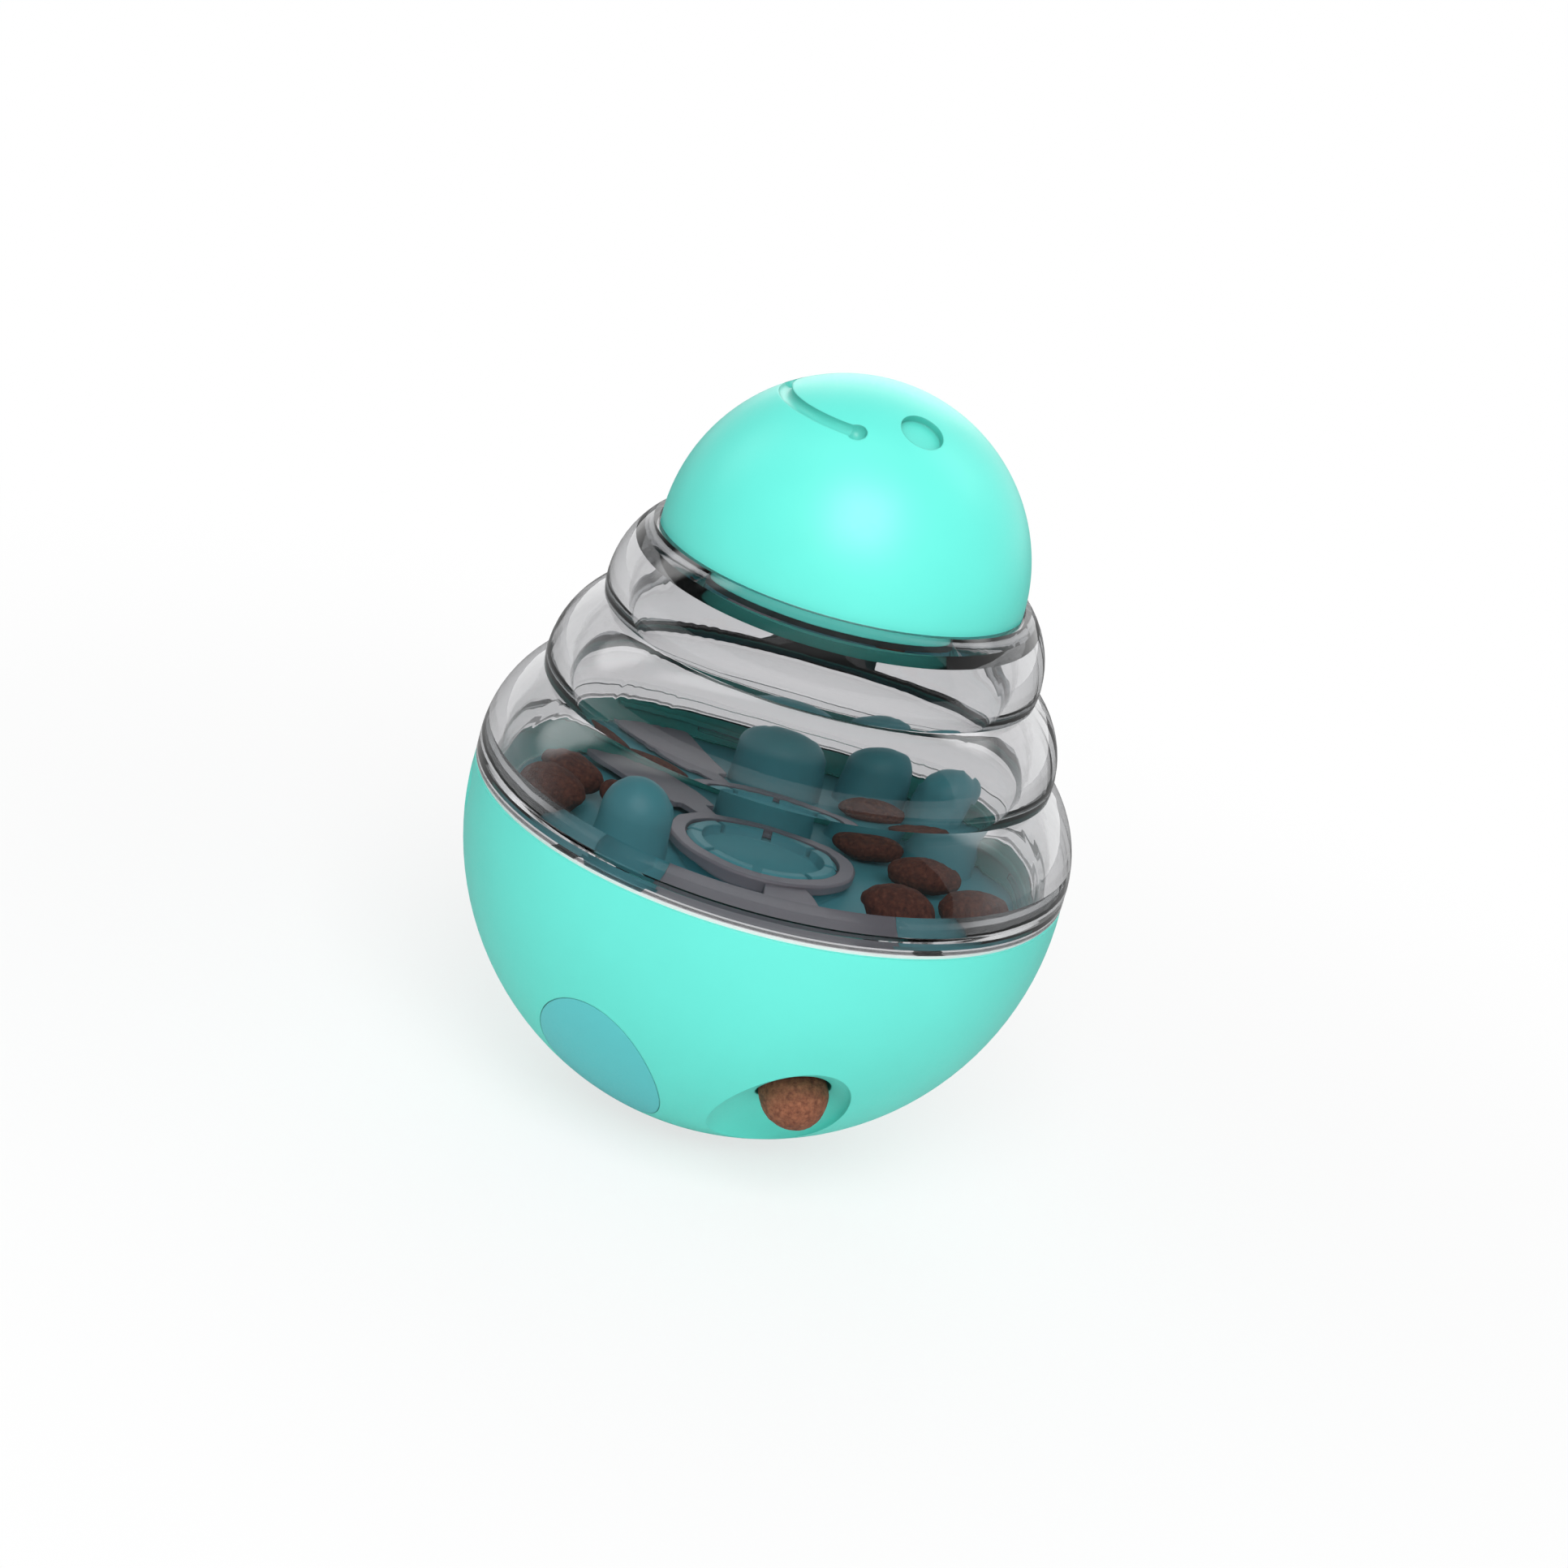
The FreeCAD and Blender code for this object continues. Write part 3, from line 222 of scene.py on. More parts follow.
def moulded_abs(name, colour, grain):
    """Injection-moulded ABS: opaque and satin, with a fine grain that blurs its reflections, and
    painted shade that darkens its grooves and recesses."""
    material, tree, shader = surface(name)
    clouds = noise(tree, spacing=22 * MM, detail=3.0).outputs[0]
    tone = between(tree, varied(tree, clouds), shade(colour, 0.975), shade(colour, 1.02))
    # Painted shade: ambient occlusion darkens grooves and recesses towards a darker copy
    openness = node(
        tree, "ShaderNodeAmbientOcclusion", {"samples": RECESS_SHADE_SAMPLES, "only_local": True},
        {"Distance": RECESS_SHADE_REACH}).outputs["AO"]
    recess_shaded = node(tree, "ShaderNodeMix", {"data_type": "RGBA"}, {
        0: openness, 6: opaque(shade(colour, RECESS_SHADE_TONE)), 7: tone})
    tree.links.new(recess_shaded.outputs[2], shader.inputs["Base Color"])
    fine = noise(tree, spacing=grain).outputs[0]
    tree.links.new(varied(tree, fine, low=0.36, high=0.44), shader.inputs["Roughness"])
    shader.inputs["IOR"].default_value = ABS_IOR
    relief(tree, shader, fine, height=0.012 * MM, strength=0.6, edge=MOULDED_EDGE)
    return material


def moulded_polypropylene(name, colour, grain):
    """Injection-moulded polypropylene: waxier and duller than ABS, with soft flow marks."""
    material, tree, shader = surface(name)
    flow = noise(tree, spacing=14 * MM, detail=4.0, roughness=0.6).outputs[0]
    tone = between(tree, varied(tree, flow), shade(colour, 0.94), shade(colour, 1.04))
    tree.links.new(tone, shader.inputs["Base Color"])
    fine = noise(tree, spacing=grain).outputs[0]
    tree.links.new(varied(tree, fine, low=0.42, high=0.52), shader.inputs["Roughness"])
    shader.inputs["IOR"].default_value = POLYPROPYLENE_IOR
    relief(tree, shader, fine, height=0.015 * MM, strength=0.6, edge=MOULDED_EDGE)
    return material


def smoked_polycarbonate(name, colour, smoke, inner_light):
    """Polished polycarbonate, smoked through: clear, with hard reflections, strong refraction and
    a grey that deepens where one looks along the wall. Things inside it lie in its thin shade."""
    material, tree, shader = surface(name)
    shader.inputs["Base Color"].default_value = opaque(colour)
    shader.inputs["Transmission Weight"].default_value = 1.0
    shader.inputs["IOR"].default_value = POLYCARBONATE_IOR
    shader.inputs["Roughness"].default_value = 0.0
    ripple = noise(tree, spacing=9 * MM, detail=1.0).outputs[0]
    relief(tree, shader, ripple, height=0.08 * MM, strength=0.5)
    path = node(tree, "ShaderNodeLightPath").outputs
    unseen = calculated(tree, "MAXIMUM", path["Is Shadow Ray"], path["Is Diffuse Ray"])
    see_through = node(tree, "ShaderNodeBsdfTransparent", {}, {
        "Color": opaque(shade(colour, inner_light))})
    mix = node(tree, "ShaderNodeMixShader", {}, {
        0: unseen, 1: shader.outputs[0], 2: see_through.outputs[0]})
    output = tree.nodes["Material Output"]
    tree.links.new(mix.outputs[0], output.inputs["Surface"])
    grey = node(tree, "ShaderNodeVolumeAbsorption", {}, {
        "Color": opaque(SMOKE_TONE), "Density": smoke})
    tree.links.new(grey.outputs[0], output.inputs["Volume"])
    return material


def gasket_silicone(name, body, lip, shade_to_lip):
    """Moulded silicone, soft and a little translucent: a smoky grey body deepened by painted shade
    where the parts close over it, and milky where its lip thins out at the joint."""
    material, tree, shader = surface(name)
    clouds = noise(tree, spacing=3 * MM).outputs[0]
    flat = node(tree, "ShaderNodeVectorMath", {"operation": "MULTIPLY"}, {
        0: place(tree), 1: (1.0, 1.0, 0.0)})
    radius = node(tree, "ShaderNodeVectorMath", {"operation": "LENGTH"}, {0: flat.outputs[0]})
    out_of_shade = node(tree, "ShaderNodeMapRange", {}, {
        "Value": radius.outputs["Value"], "From Min": shade_to_lip[0], "From Max": shade_to_lip[1]})
    # Painted shade darkens the body, for the little light that reaches it between the parts
    dark = between(tree, varied(tree, clouds), shade(body, 0.85), shade(body, 1.1))
    tone = node(tree, "ShaderNodeMix", {"data_type": "RGBA"}, {
        0: out_of_shade.outputs[0], 6: dark, 7: opaque(lip)})
    tree.links.new(tone.outputs[2], shader.inputs["Base Color"])
    shader.inputs["Roughness"].default_value = 0.45
    shader.inputs["IOR"].default_value = SILICONE_IOR
    shader.inputs["Subsurface Weight"].default_value = 0.2
    shader.inputs["Subsurface Scale"].default_value = 0.3 * MM
    shader.inputs["Subsurface Radius"].default_value = (1.0, 1.0, 1.0)
    return material


def sand_cast_iron(name, colour):
    """Sand-cast iron: dark metal, dull all over, with the pits of the sand mould."""
    material, tree, shader = surface(name)
    sand = noise(tree, spacing=0.9 * MM, detail=5.0, roughness=0.65).outputs[0]
    tone = between(tree, varied(tree, sand), shade(colour, 0.7), shade(colour, 1.15))
    tree.links.new(tone, shader.inputs["Base Color"])
    tree.links.new(varied(tree, sand, low=0.55, high=0.8), shader.inputs["Roughness"])
    shader.inputs["Metallic"].default_value = 1.0
    relief(tree, shader, sand, height=0.15 * MM)
    return material


def zinc_plated_steel(name, colour):
    """Zinc-plated steel: bright metal with the spangle of the plating and a faint blur."""
    material, tree, shader = surface(name)
    spangle = node(tree, "ShaderNodeTexVoronoi", {}, {
        "Vector": place(tree), "Scale": 1 / (0.6 * MM)})
    tone = between(tree, spangle.outputs["Color"], shade(colour, 0.85), colour)
    tree.links.new(tone, shader.inputs["Base Color"])
    fine = noise(tree, spacing=0.15 * MM).outputs[0]
    tree.links.new(varied(tree, fine, low=0.25, high=0.4), shader.inputs["Roughness"])
    shader.inputs["Metallic"].default_value = 1.0
    relief(tree, shader, fine, height=0.01 * MM)
    return material


def baked_kibble(name, crumb, crust):
    """Baked kibble: dry and crumbly, dark in its pits and paler on its crumbs."""
    material, tree, shader = surface(name)
    crumbs = noise(tree, spacing=1.1 * MM, detail=5.0, roughness=0.7).outputs[0]
    flecks = node(tree, "ShaderNodeTexVoronoi", {}, {
        "Vector": place(tree), "Scale": 1 / (1.3 * MM)})
    tone = between(tree, varied(tree, crumbs), crust, crumb)
    fleck = node(tree, "ShaderNodeMapRange", {}, {
        "Value": flecks.outputs["Distance"], "From Min": 0.1, "From Max": 0.35,
        "To Min": 0.35, "To Max": 0.0})
    lit = node(tree, "ShaderNodeMix", {"data_type": "RGBA"}, {
        0: fleck.outputs[0], 6: tone, 7: opaque(shade(crumb, 1.5))})
    tree.links.new(lit.outputs[2], shader.inputs["Base Color"])
    tree.links.new(varied(tree, crumbs, low=0.7, high=0.95), shader.inputs["Roughness"])
    shader.inputs["IOR"].default_value = KIBBLE_IOR
    relief(tree, shader, crumbs, height=0.35 * MM)
    return material


def dress(node_name, material):
    """Gives a CAD node its finish."""
    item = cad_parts[node_name]
    if not item.material_slots:
        item.data.materials.append(material)
    for material_slot in item.material_slots:
        material_slot.material = material


# Pieces


class TUMBLER_OT_bowl(bpy.types.Operator):
    """Finishes the bowl and the disc inlaid in its side"""
    bl_idname = "tumbler.bowl"
    bl_label = "Bowl and Side Disc"

    def execute(self, context):
        colours = context.scene.tumbler_colours
        grain = context.scene.tumbler_sizes.grain
        dress("outer_bowl", moulded_abs("moulded_abs_turquoise", colours.turquoise, grain))
        dress("side_disc", moulded_abs("moulded_abs_blue", colours.blue, grain))
        return {"FINISHED"}


class TUMBLER_OT_weight(bpy.types.Operator):
    """Finishes the counterweight, its cover and the screws"""
    bl_idname = "tumbler.weight"
    bl_label = "Counterweight"

    def execute(self, context):
        colours = context.scene.tumbler_colours
        grain = context.scene.tumbler_sizes.grain
        dress("counterweight", sand_cast_iron("sand_cast_iron", colours.iron))
        dress("weight_cover", moulded_polypropylene(
            "moulded_polypropylene_cover", colours.teal, grain))
        dress("cover_screws", zinc_plated_steel("zinc_plated_steel", colours.zinc))
        return {"FINISHED"}


class TUMBLER_OT_tray(bpy.types.Operator):
    """Finishes the tray with its pegs, and the gate"""
    bl_idname = "tumbler.tray"
    bl_label = "Tray and Gate"

    def execute(self, context):
        colours = context.scene.tumbler_colours
        grain = context.scene.tumbler_sizes.grain
        dress("maze_tray", moulded_polypropylene(
            "moulded_polypropylene_teal", colours.teal, grain))
        dress("gate", moulded_abs("moulded_abs_grey", colours.grey, grain))
        return {"FINISHED"}


class TUMBLER_OT_cover(bpy.types.Operator):
    """Finishes the ribbed clear cover and the seal under it"""
    bl_idname = "tumbler.cover"
    bl_label = "Clear Cover and Seal"

    def execute(self, context):
        colours = context.scene.tumbler_colours
        sizes = context.scene.tumbler_sizes
        dress("clear_cover", smoked_polycarbonate(
            "smoked_polycarbonate", colours.smoke, sizes.smoke, sizes.inner_light))
        dress("seal_ring", gasket_silicone(
            "gasket_silicone_ring", colours.silicone, colours.lip, RING_SHADE_TO_LIP))
        return {"FINISHED"}


class TUMBLER_OT_cap(bpy.types.Operator):
    """Finishes the dome cap, its plug and its seal"""
    bl_idname = "tumbler.cap"
    bl_label = "Dome Cap"

    def execute(self, context):
        colours = context.scene.tumbler_colours
        grain = context.scene.tumbler_sizes.grain
        turquoise = moulded_abs("moulded_abs_dome", colours.turquoise, grain)
        dress("dome_cap", turquoise)
        dress("cap_plug", turquoise)
        dress("cap_seal", gasket_silicone(
            "gasket_silicone_cap", colours.silicone, colours.lip, CAP_SHADE_TO_LIP))
        return {"FINISHED"}


# Vertices closer than this are one, in metres
WELD_REACH = 1e-6


def loose_centres(item):
    """The middle and the heading of each loose solid in a CAD node's mesh."""
    mesh = bmesh.new()
    mesh.from_mesh(item.data)
    bmesh.ops.remove_doubles(mesh, verts=mesh.verts, dist=WELD_REACH)
    left = set(mesh.verts)
    found = []
    while left:
        seed = left.pop()
        island, edge = [seed], [seed]
        while edge:
            vertex = edge.pop()
            for link in vertex.link_edges:
                other = link.other_vert(vertex)
                if other in left:
                    left.discard(other)
                    island.append(other)
                    edge.append(other)
        middle = sum((v.co for v in island), Vector()) / len(island)
        longest = max(island, key=lambda v: ((v.co - middle).xy.length, v.co.x, v.co.y))
        reach = longest.co - middle
        heading = math.atan2(reach.y, reach.x) % math.pi
        found.append((middle, heading))
    mesh.free()
    return sorted(found, key=lambda entry: (entry[0].x, entry[0].y))


def group_input(tree, name, kind):
    """Adds a named input to a geometry tree."""
    tree.interface.new_socket(name, in_out="INPUT", socket_type=kind)


# Spacing of the lumps and of the crumbs, and how detailed their noise is
LUMP_SPACING = 4.5 * MM
LUMP_DETAIL = 1.0
CRUMB_SPACING = 1.2 * MM
CRUMB_DETAIL = 3.0
# Noise level at which the surface stays where it is
STILL_LEVEL = 0.58
BALL_SUBDIVISIONS = 6


def kibble_tree():
    """Geometry nodes: a lumpy, crumbly oval on each point, turned to the point's heading."""
    tree = bpy.data.node_groups.new("kibble", "GeometryNodeTree")
    tree.interface.new_socket("Geometry", in_out="OUTPUT", socket_type="NodeSocketGeometry")
    group_input(tree, "Geometry", "NodeSocketGeometry")
    group_input(tree, "Half Size", "NodeSocketVector")
    group_input(tree, "Lump", "NodeSocketFloat")
    group_input(tree, "Crumb", "NodeSocketFloat")
    group_input(tree, "Seed", "NodeSocketFloat")
    group_input(tree, "Material", "NodeSocketMaterial")
    given = node(tree, "NodeGroupInput").outputs
    ball = node(tree, "GeometryNodeMeshIcoSphere", {}, {
        "Radius": 1.0, "Subdivisions": BALL_SUBDIVISIONS})
    heading = node(
        tree, "GeometryNodeInputNamedAttribute", {"data_type": "FLOAT_VECTOR"}, {"Name": "heading"})
    placed = node(tree, "GeometryNodeInstanceOnPoints", {}, {
        "Points": given["Geometry"], "Instance": ball.outputs["Mesh"],
        "Rotation": heading.outputs[0], "Scale": given["Half Size"]})
    real = node(tree, "GeometryNodeRealizeInstances", {}, {"Geometry": placed.outputs[0]})
    where = node(tree, "GeometryNodeInputPosition")
    outward = node(tree, "GeometryNodeInputNormal")
    shape = real.outputs[0]
    layers = (
        (LUMP_SPACING, LUMP_DETAIL, given["Lump"]),
        (CRUMB_SPACING, CRUMB_DETAIL, given["Crumb"]),
    )
    for spacing, detail, height in layers:
        pattern = node(tree, "ShaderNodeTexNoise", {"noise_dimensions": "4D"}, {
            "Vector": where.outputs[0], "W": given["Seed"], "Scale": 1 / spacing,
            "Detail": detail})
        centred = calculated(tree, "SUBTRACT", pattern.outputs[0], STILL_LEVEL)
        lift = calculated(tree, "MULTIPLY", centred, height)
        offset = node(tree, "ShaderNodeVectorMath", {"operation": "SCALE"}, {
            0: outward.outputs[0], "Scale": lift})
        moved = node(tree, "GeometryNodeSetPosition", {}, {
            "Geometry": shape, "Offset": offset.outputs[0]})
        shape = moved.outputs[0]
    smooth = node(tree, "GeometryNodeSetShadeSmooth", {}, {"Geometry": shape})
    finish = node(tree, "GeometryNodeSetMaterial", {}, {
        "Geometry": smooth.outputs[0], "Material": given["Material"]})
    node(tree, "NodeGroupOutput", {}, {0: finish.outputs[0]})
    return tree


def made_by(tree, name, points, headings, **amounts):
    """A plain mesh object, made by a geometry tree from points with headings."""
    start = bpy.data.meshes.new(name + "_points")
    start.from_pydata([tuple(p) for p in points], [], [])
    attribute = start.attributes.new("heading", "FLOAT_VECTOR", "POINT")
    for index, heading in enumerate(headings):
        attribute.data[index].vector = heading
    item = bpy.data.objects.new(name, start)
    bpy.context.scene.collection.objects.link(item)
    modifier = item.modifiers.new("shape", "NODES")
    modifier.node_group = tree
    sockets = {
        socket.name: socket.identifier
        for socket in tree.interface.items_tree if socket.in_out == "INPUT"}
    for key, value in amounts.items():
        modifier[sockets[key.replace("_", " ")]] = value
    bpy.context.view_layer.update()
    evaluated = item.evaluated_get(bpy.context.evaluated_depsgraph_get())
    mesh = bpy.data.meshes.new_from_object(evaluated)
    mesh.name = name
    item.modifiers.remove(modifier)
    item.data = mesh
    return item


# The treat that pokes out of the outlet: its direction about the axis and down from the ball's
# centre, its distance from there and its half sizes, outward, across and up
OUTLET_TURN = math.radians(-65.4)
OUTLET_LEAN = math.radians(37.6)
OUTLET_REACH = 48.6 * MM
OUTLET_HALF_SIZE = Vector((6.6, 6.0, 5.6)) * MM
BALL_CENTRE = Vector((0.0, 0.0, 51.887)) * MM


def outlet_place():
    """The middle of the treat in the outlet."""
    level = math.cos(OUTLET_LEAN)
    way = Vector((
        level * math.cos(OUTLET_TURN), level * math.sin(OUTLET_TURN), -math.sin(OUTLET_LEAN)))
    return BALL_CENTRE + OUTLET_REACH * way


class TUMBLER_OT_treats(bpy.types.Operator):
    """Makes the treats on the tray and the one in the outlet"""
    bl_idname = "tumbler.treats"
    bl_label = "Treats"

    def execute(self, context):
        colours = context.scene.tumbler_colours
        sizes = context.scene.tumbler_sizes
        tree = kibble_tree()
        shape = {"Lump": sizes.lump, "Crumb": sizes.crumb}
        found = loose_centres(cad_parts["treats"])
        # Painted shade: the tray's treats wear the darker copy of the kibble colours
        treats = made_by(
            tree, "kibble_treats", [middle for middle, heading in found],
            [(0.0, 0.0, heading) for middle, heading in found],
            Half_Size=(sizes.treat_length, sizes.treat_width, sizes.treat_height),
            Seed=float(sizes.seed), **shape,
            Material=baked_kibble("baked_kibble_shaded", colours.shaded_crumb, colours.shaded_crust))
        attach(treats, "base")
        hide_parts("treats")
        outlet = made_by(
            tree, "outlet_treat", [outlet_place()], [(0.0, OUTLET_LEAN, OUTLET_TURN)],
            Half_Size=OUTLET_HALF_SIZE, Seed=float(sizes.seed + 1), **shape,
            Material=baked_kibble("baked_kibble", colours.crumb, colours.crust))
        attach(outlet, "base")
        return {"FINISHED"}


# Studio

# The camera's angle above the level and about its own axis, its distance from the point that it
# aims at, and its lens and sensor in millimetres. The aim is shifted across and up the picture.
CAMERA_DIP = math.radians(20.0)
CAMERA_ROLL = math.radians(15.73)
CAMERA_DISTANCE = 633.6 * MM
CAMERA_LENS = 84.745
CAMERA_SENSOR = 36.0
CAMERA_NEAREST = 0.01
CAMERA_FARTHEST = 20.0
AIM = Vector((0.0, 0.0, 73.17)) * MM
AIM_ACROSS = 2.3936 * MM
AIM_UP = 10.3008 * MM

# The lamps' width, and their places in metres right of, above and in front of the point that they
# light, as the camera sees it
LAMP_SIZE = 0.7
LIT_MIDDLE = Vector((0.0, 0.0, 0.065))
KEY_PLACE = (0.2, 0.45, 1.0)
BACK_PLACE = (0.15, 0.75, -0.8)
# Soft panels that shiny surfaces mirror: their direction along the camera's axes, half extents
# across and up, softness of their edge and level. First the large one over the camera, then one
# high on each side, a long one overhead and a broad one behind.
PANELS = (
    ((0.0, 0.35, 0.93), 0.45, 0.2, 0.5, 0.3),
    ((-0.6, 0.75, -0.1), 0.15, 0.3, 0.4, 2.6),
    ((0.75, 0.65, -0.1), 0.15, 0.3, 0.4, 3.0),
    ((0.0, 0.9, 0.3), 0.5, 0.12, 0.4, 2.0),
    ((0.3, 0.3, -0.9), 0.9, 0.6, 0.5, 1.2),
)
# Where white turns to the dim side of the studio, on the way from behind the object to the camera
WHITE_END = -0.35
DIM_START = 0.25
# The floor: its size, and the distances between which its shadow fades into white, from the share
# of white close to the object
FLOOR_RADIUS = 2.0
FLOOR_SEGMENTS = 96
SHADOW_NEAR = 0.06
SHADOW_FAR = 0.3
SHADOW_WHITE = 0.72


def camera_axes():
    """Right, up and backward directions of the camera."""
    level = Vector((1.0, 0.0, 0.0))
    rise = Vector((0.0, math.sin(CAMERA_DIP), math.cos(CAMERA_DIP)))
    back = Vector((0.0, -math.cos(CAMERA_DIP), math.sin(CAMERA_DIP)))
    right = math.cos(CAMERA_ROLL) * level + math.sin(CAMERA_ROLL) * rise
    up = -math.sin(CAMERA_ROLL) * level + math.cos(CAMERA_ROLL) * rise
    return right, up, back


def camera_way(across, up, back):
    """A direction given along the camera's own axes."""
    right_way, up_way, back_way = camera_axes()
    return across * right_way + up * up_way + back * back_way


def lamp(name, power, across, up, back):
    """A square soft lamp, placed in the camera's directions and turned to the object. It leaves out
    the clear cover, which would mirror it as a hard square."""
    offset = camera_way(across, up, back)
    light = bpy.data.lights.new(name, "AREA")
    light.shape = "SQUARE"
    light.size = LAMP_SIZE
    light.energy = power
    item = bpy.data.objects.new(name, light)
    item.location = LIT_MIDDLE + offset
    item.rotation_mode = "QUATERNION"
    item.rotation_quaternion = offset.to_track_quat("Z", "Y")
    bpy.context.scene.collection.objects.link(item)
    lit = bpy.data.collections.new(name + "_receivers")
    lit.objects.link(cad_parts["clear_cover"])
    lit.collection_objects[0].light_linking.link_state = "EXCLUDE"
    item.light_linking.receiver_collection = lit


def mixed(tree, factor, first, second):
    """Two grey levels, or sockets, mixed by a factor."""
    return node(tree, "ShaderNodeMix", {"data_type": "FLOAT"}, {
        0: factor, 2: first, 3: second}).outputs[0]


def along(tree, direction, way):
    """How far a direction goes along another."""
    return node(tree, "ShaderNodeVectorMath", {"operation": "DOT_PRODUCT"}, {
        0: direction, 1: way}).outputs["Value"]


def panel(tree, direction, middle, half_across, half_up, soft, level):
    """The light of a soft-edged oval panel that stands in a direction of the camera's axes."""
    forward = camera_way(*middle).normalized()
    across = camera_axes()[1].cross(forward).normalized()
    up = forward.cross(across)
    spot = node(tree, "ShaderNodeCombineXYZ", {}, {
        0: along(tree, direction, across / half_across), 1: along(tree, direction, up / half_up)})
    reach = node(tree, "ShaderNodeVectorMath", {"operation": "LENGTH"}, {
        0: spot.outputs[0]}).outputs["Value"]
    glow = node(tree, "ShaderNodeMapRange", {"interpolation_type": "SMOOTHSTEP"}, {
        "Value": reach, "From Min": 1.0 - soft, "From Max": 1.0 + soft,
        "To Min": level, "To Max": 0.0})
    ahead = calculated(tree, "GREATER_THAN", along(tree, direction, forward), 0.0)
    return calculated(tree, "MULTIPLY", glow.outputs[0], ahead)


def seen_level(tree, mirrored):
    """1 for what the camera or a clear piece sees and a dimmer level for what is mirrored; 0 for
    the light that falls on things."""
    path = node(tree, "ShaderNodeLightPath").outputs
    level = calculated(tree, "MULTIPLY", path["Is Glossy Ray"], mirrored)
    level = calculated(tree, "MAXIMUM", level, path["Is Camera Ray"])
    return calculated(tree, "MAXIMUM", level, path["Is Transmission Ray"])


def painted_board(board, mirrored):
    """Matt white painted board: a faint roller grain and no gloss. It keeps the soft shadow close
    to the object, and fades into plain white further out."""
    material, tree, shader = surface("painted_board")
    grain = noise(tree, spacing=0.8 * MM).outputs[0]
    colour = between(tree, varied(tree, grain), shade(board, 0.99), board)
    tree.links.new(colour, shader.inputs["Base Color"])
    shader.inputs["Roughness"].default_value = 0.9
    shader.inputs["Specular IOR Level"].default_value = 0.0
    seen = seen_level(tree, mirrored)
    white = node(tree, "ShaderNodeEmission", {}, {"Color": (1.0, 1.0, 1.0, 1.0), "Strength": seen})
    distance = node(tree, "ShaderNodeVectorMath", {"operation": "LENGTH"}, {0: place(tree)})
    fade = node(tree, "ShaderNodeMapRange", {"interpolation_type": "SMOOTHSTEP"}, {
        "Value": distance.outputs["Value"], "From Min": SHADOW_NEAR, "From Max": SHADOW_FAR,
        "To Min": SHADOW_WHITE, "To Max": 1.0})
    plainly = calculated(tree, "GREATER_THAN", seen, 0.0)
    amount = calculated(tree, "MULTIPLY", plainly, fade.outputs[0])
    mix = node(tree, "ShaderNodeMixShader", {}, {
        0: amount, 1: shader.outputs[0], 2: white.outputs[0]})
    tree.links.new(mix.outputs[0], tree.nodes["Material Output"].inputs["Surface"])
    return material


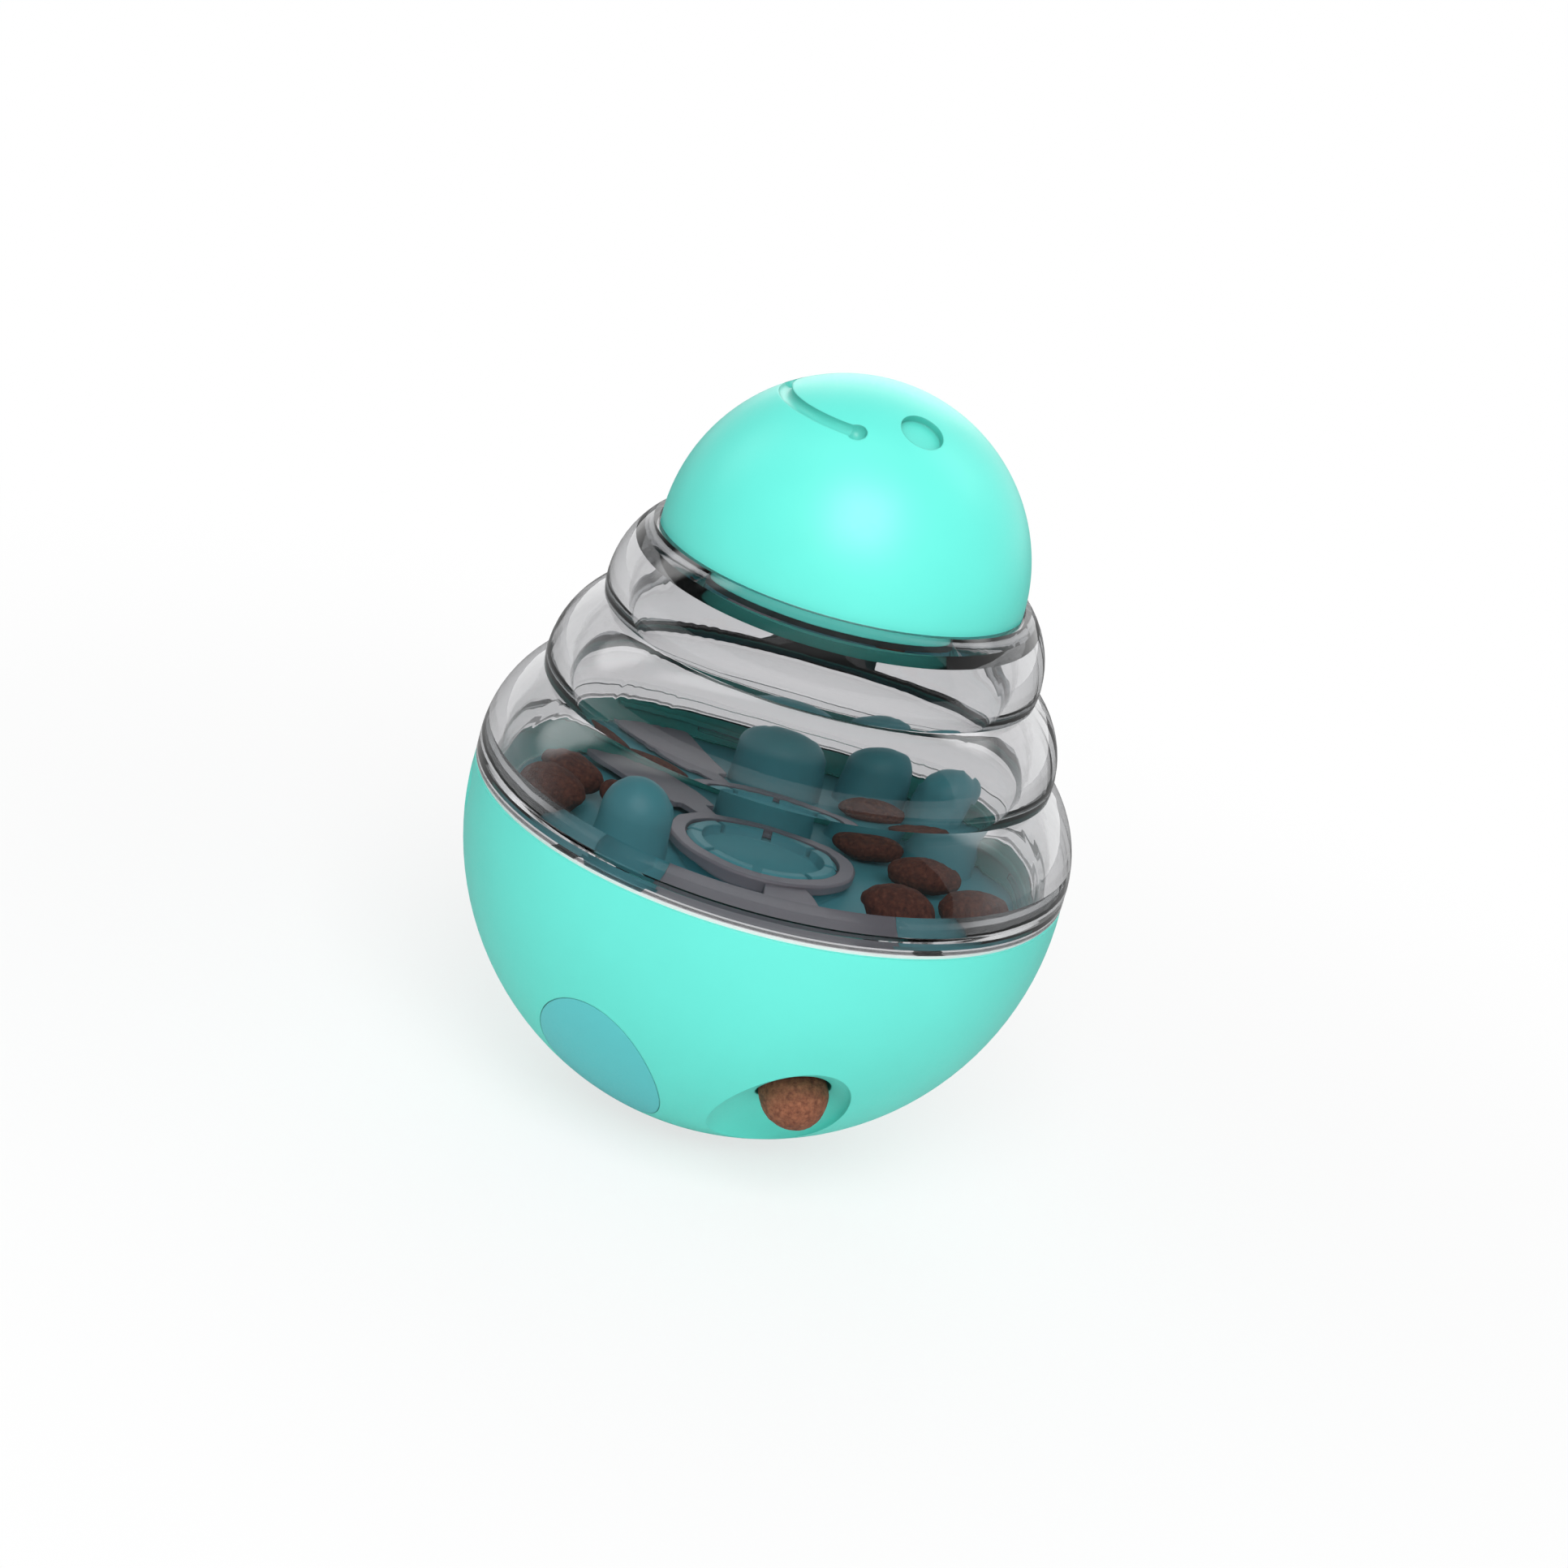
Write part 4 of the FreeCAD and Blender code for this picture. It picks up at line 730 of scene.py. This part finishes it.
class TUMBLER_OT_studio(bpy.types.Operator):
    """Sets the floor, the lamps, the surroundings and the camera"""
    bl_idname = "tumbler.studio"
    bl_label = "Studio"

    def execute(self, context):
        studio = context.scene.tumbler_studio
        self.floor(context, studio)
        self.surroundings(context, studio)
        lamp("key_lamp", studio.key, *KEY_PLACE)
        lamp("back_lamp", studio.back, *BACK_PLACE)
        self.camera(context)
        context.scene.view_settings.view_transform = "Standard"
        return {"FINISHED"}

    def floor(self, context, studio):
        mesh = bmesh.new()
        bmesh.ops.create_circle(
            mesh, cap_ends=True, segments=FLOOR_SEGMENTS, radius=FLOOR_RADIUS)
        data = bpy.data.meshes.new("floor")
        mesh.to_mesh(data)
        mesh.free()
        floor = bpy.data.objects.new("floor", data)
        context.scene.collection.objects.link(floor)
        data.materials.append(painted_board(studio.floor, studio.mirrored))

    def surroundings(self, context, studio):
        """White behind the object, an even fill for light, and soft panels in a dim room for
        everything that shines."""
        world = bpy.data.worlds.new("studio")
        context.scene.world = world
        world.use_nodes = True
        tree = world.node_tree
        shader = tree.nodes["Background"]
        direction = node(tree, "ShaderNodeTexCoord").outputs["Generated"]
        path = node(tree, "ShaderNodeLightPath").outputs
        behind = node(tree, "ShaderNodeMapRange", {"interpolation_type": "SMOOTHSTEP"}, {
            "Value": along(tree, direction, camera_axes()[2]),
            "From Min": WHITE_END, "From Max": DIM_START,
            "To Min": 1.0, "To Max": studio.dim}).outputs[0]
        shine = studio.dim
        for middle, half_across, half_up, soft, level in PANELS:
            shine = calculated(tree, "ADD", panel(
                tree, direction, middle, half_across, half_up, soft, level), shine)
        level = mixed(tree, path["Is Glossy Ray"], studio.fill, shine)
        level = mixed(tree, path["Is Transmission Ray"], level, behind)
        level = mixed(tree, path["Is Camera Ray"], level, 1.0)
        tree.links.new(level, shader.inputs["Color"])

    def camera(self, context):
        right, up, back = camera_axes()
        aim = AIM - AIM_ACROSS * right - AIM_UP * up
        data = bpy.data.cameras.new("camera")
        data.sensor_width = CAMERA_SENSOR
        data.lens = CAMERA_LENS
        data.clip_start = CAMERA_NEAREST
        data.clip_end = CAMERA_FARTHEST
        camera = bpy.data.objects.new("camera", data)
        turn = Matrix((right, up, back)).transposed()
        camera.matrix_world = Matrix.Translation(aim + CAMERA_DISTANCE * back) @ turn.to_4x4()
        context.scene.collection.objects.link(camera)
        context.scene.camera = camera


OPERATORS = (
    TUMBLER_OT_bowl,
    TUMBLER_OT_weight,
    TUMBLER_OT_tray,
    TUMBLER_OT_cover,
    TUMBLER_OT_cap,
    TUMBLER_OT_treats,
    TUMBLER_OT_studio,
)
GROUPS = {
    "tumbler_colours": TumblerColours,
    "tumbler_sizes": TumblerSizes,
    "tumbler_studio": TumblerStudio,
}


class TUMBLER_PT_panel(bpy.types.Panel):
    """Lists the tumbler's pieces and settings"""
    bl_idname = "TUMBLER_PT_panel"
    bl_label = "Treat Tumbler"
    bl_space_type = "VIEW_3D"
    bl_region_type = "UI"
    bl_category = "Treat Tumbler"

    def draw(self, context):
        for operator in OPERATORS:
            self.layout.operator(operator.bl_idname)
        for group in GROUPS:
            column = self.layout.column()
            settings = getattr(context.scene, group)
            for name in settings.bl_rna.properties.keys():
                if name not in ("name", "rna_type"):
                    column.prop(settings, name)


def register():
    """Registers the settings, the operators and the panel."""
    for item in (*GROUPS.values(), *OPERATORS, TUMBLER_PT_panel):
        bpy.utils.register_class(item)
    for name, group in GROUPS.items():
        setattr(bpy.types.Scene, name, bpy.props.PointerProperty(type=group))


def unregister():
    """Takes them out again."""
    for name in GROUPS:
        delattr(bpy.types.Scene, name)
    for item in (TUMBLER_PT_panel, *reversed(OPERATORS), *reversed(list(GROUPS.values()))):
        bpy.utils.unregister_class(item)


def main():
    """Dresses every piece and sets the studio."""
    register()
    bpy.ops.tumbler.bowl()
    bpy.ops.tumbler.weight()
    bpy.ops.tumbler.tray()
    bpy.ops.tumbler.cover()
    bpy.ops.tumbler.cap()
    bpy.ops.tumbler.treats()
    bpy.ops.tumbler.studio()


if __name__ == "__main__":
    main()
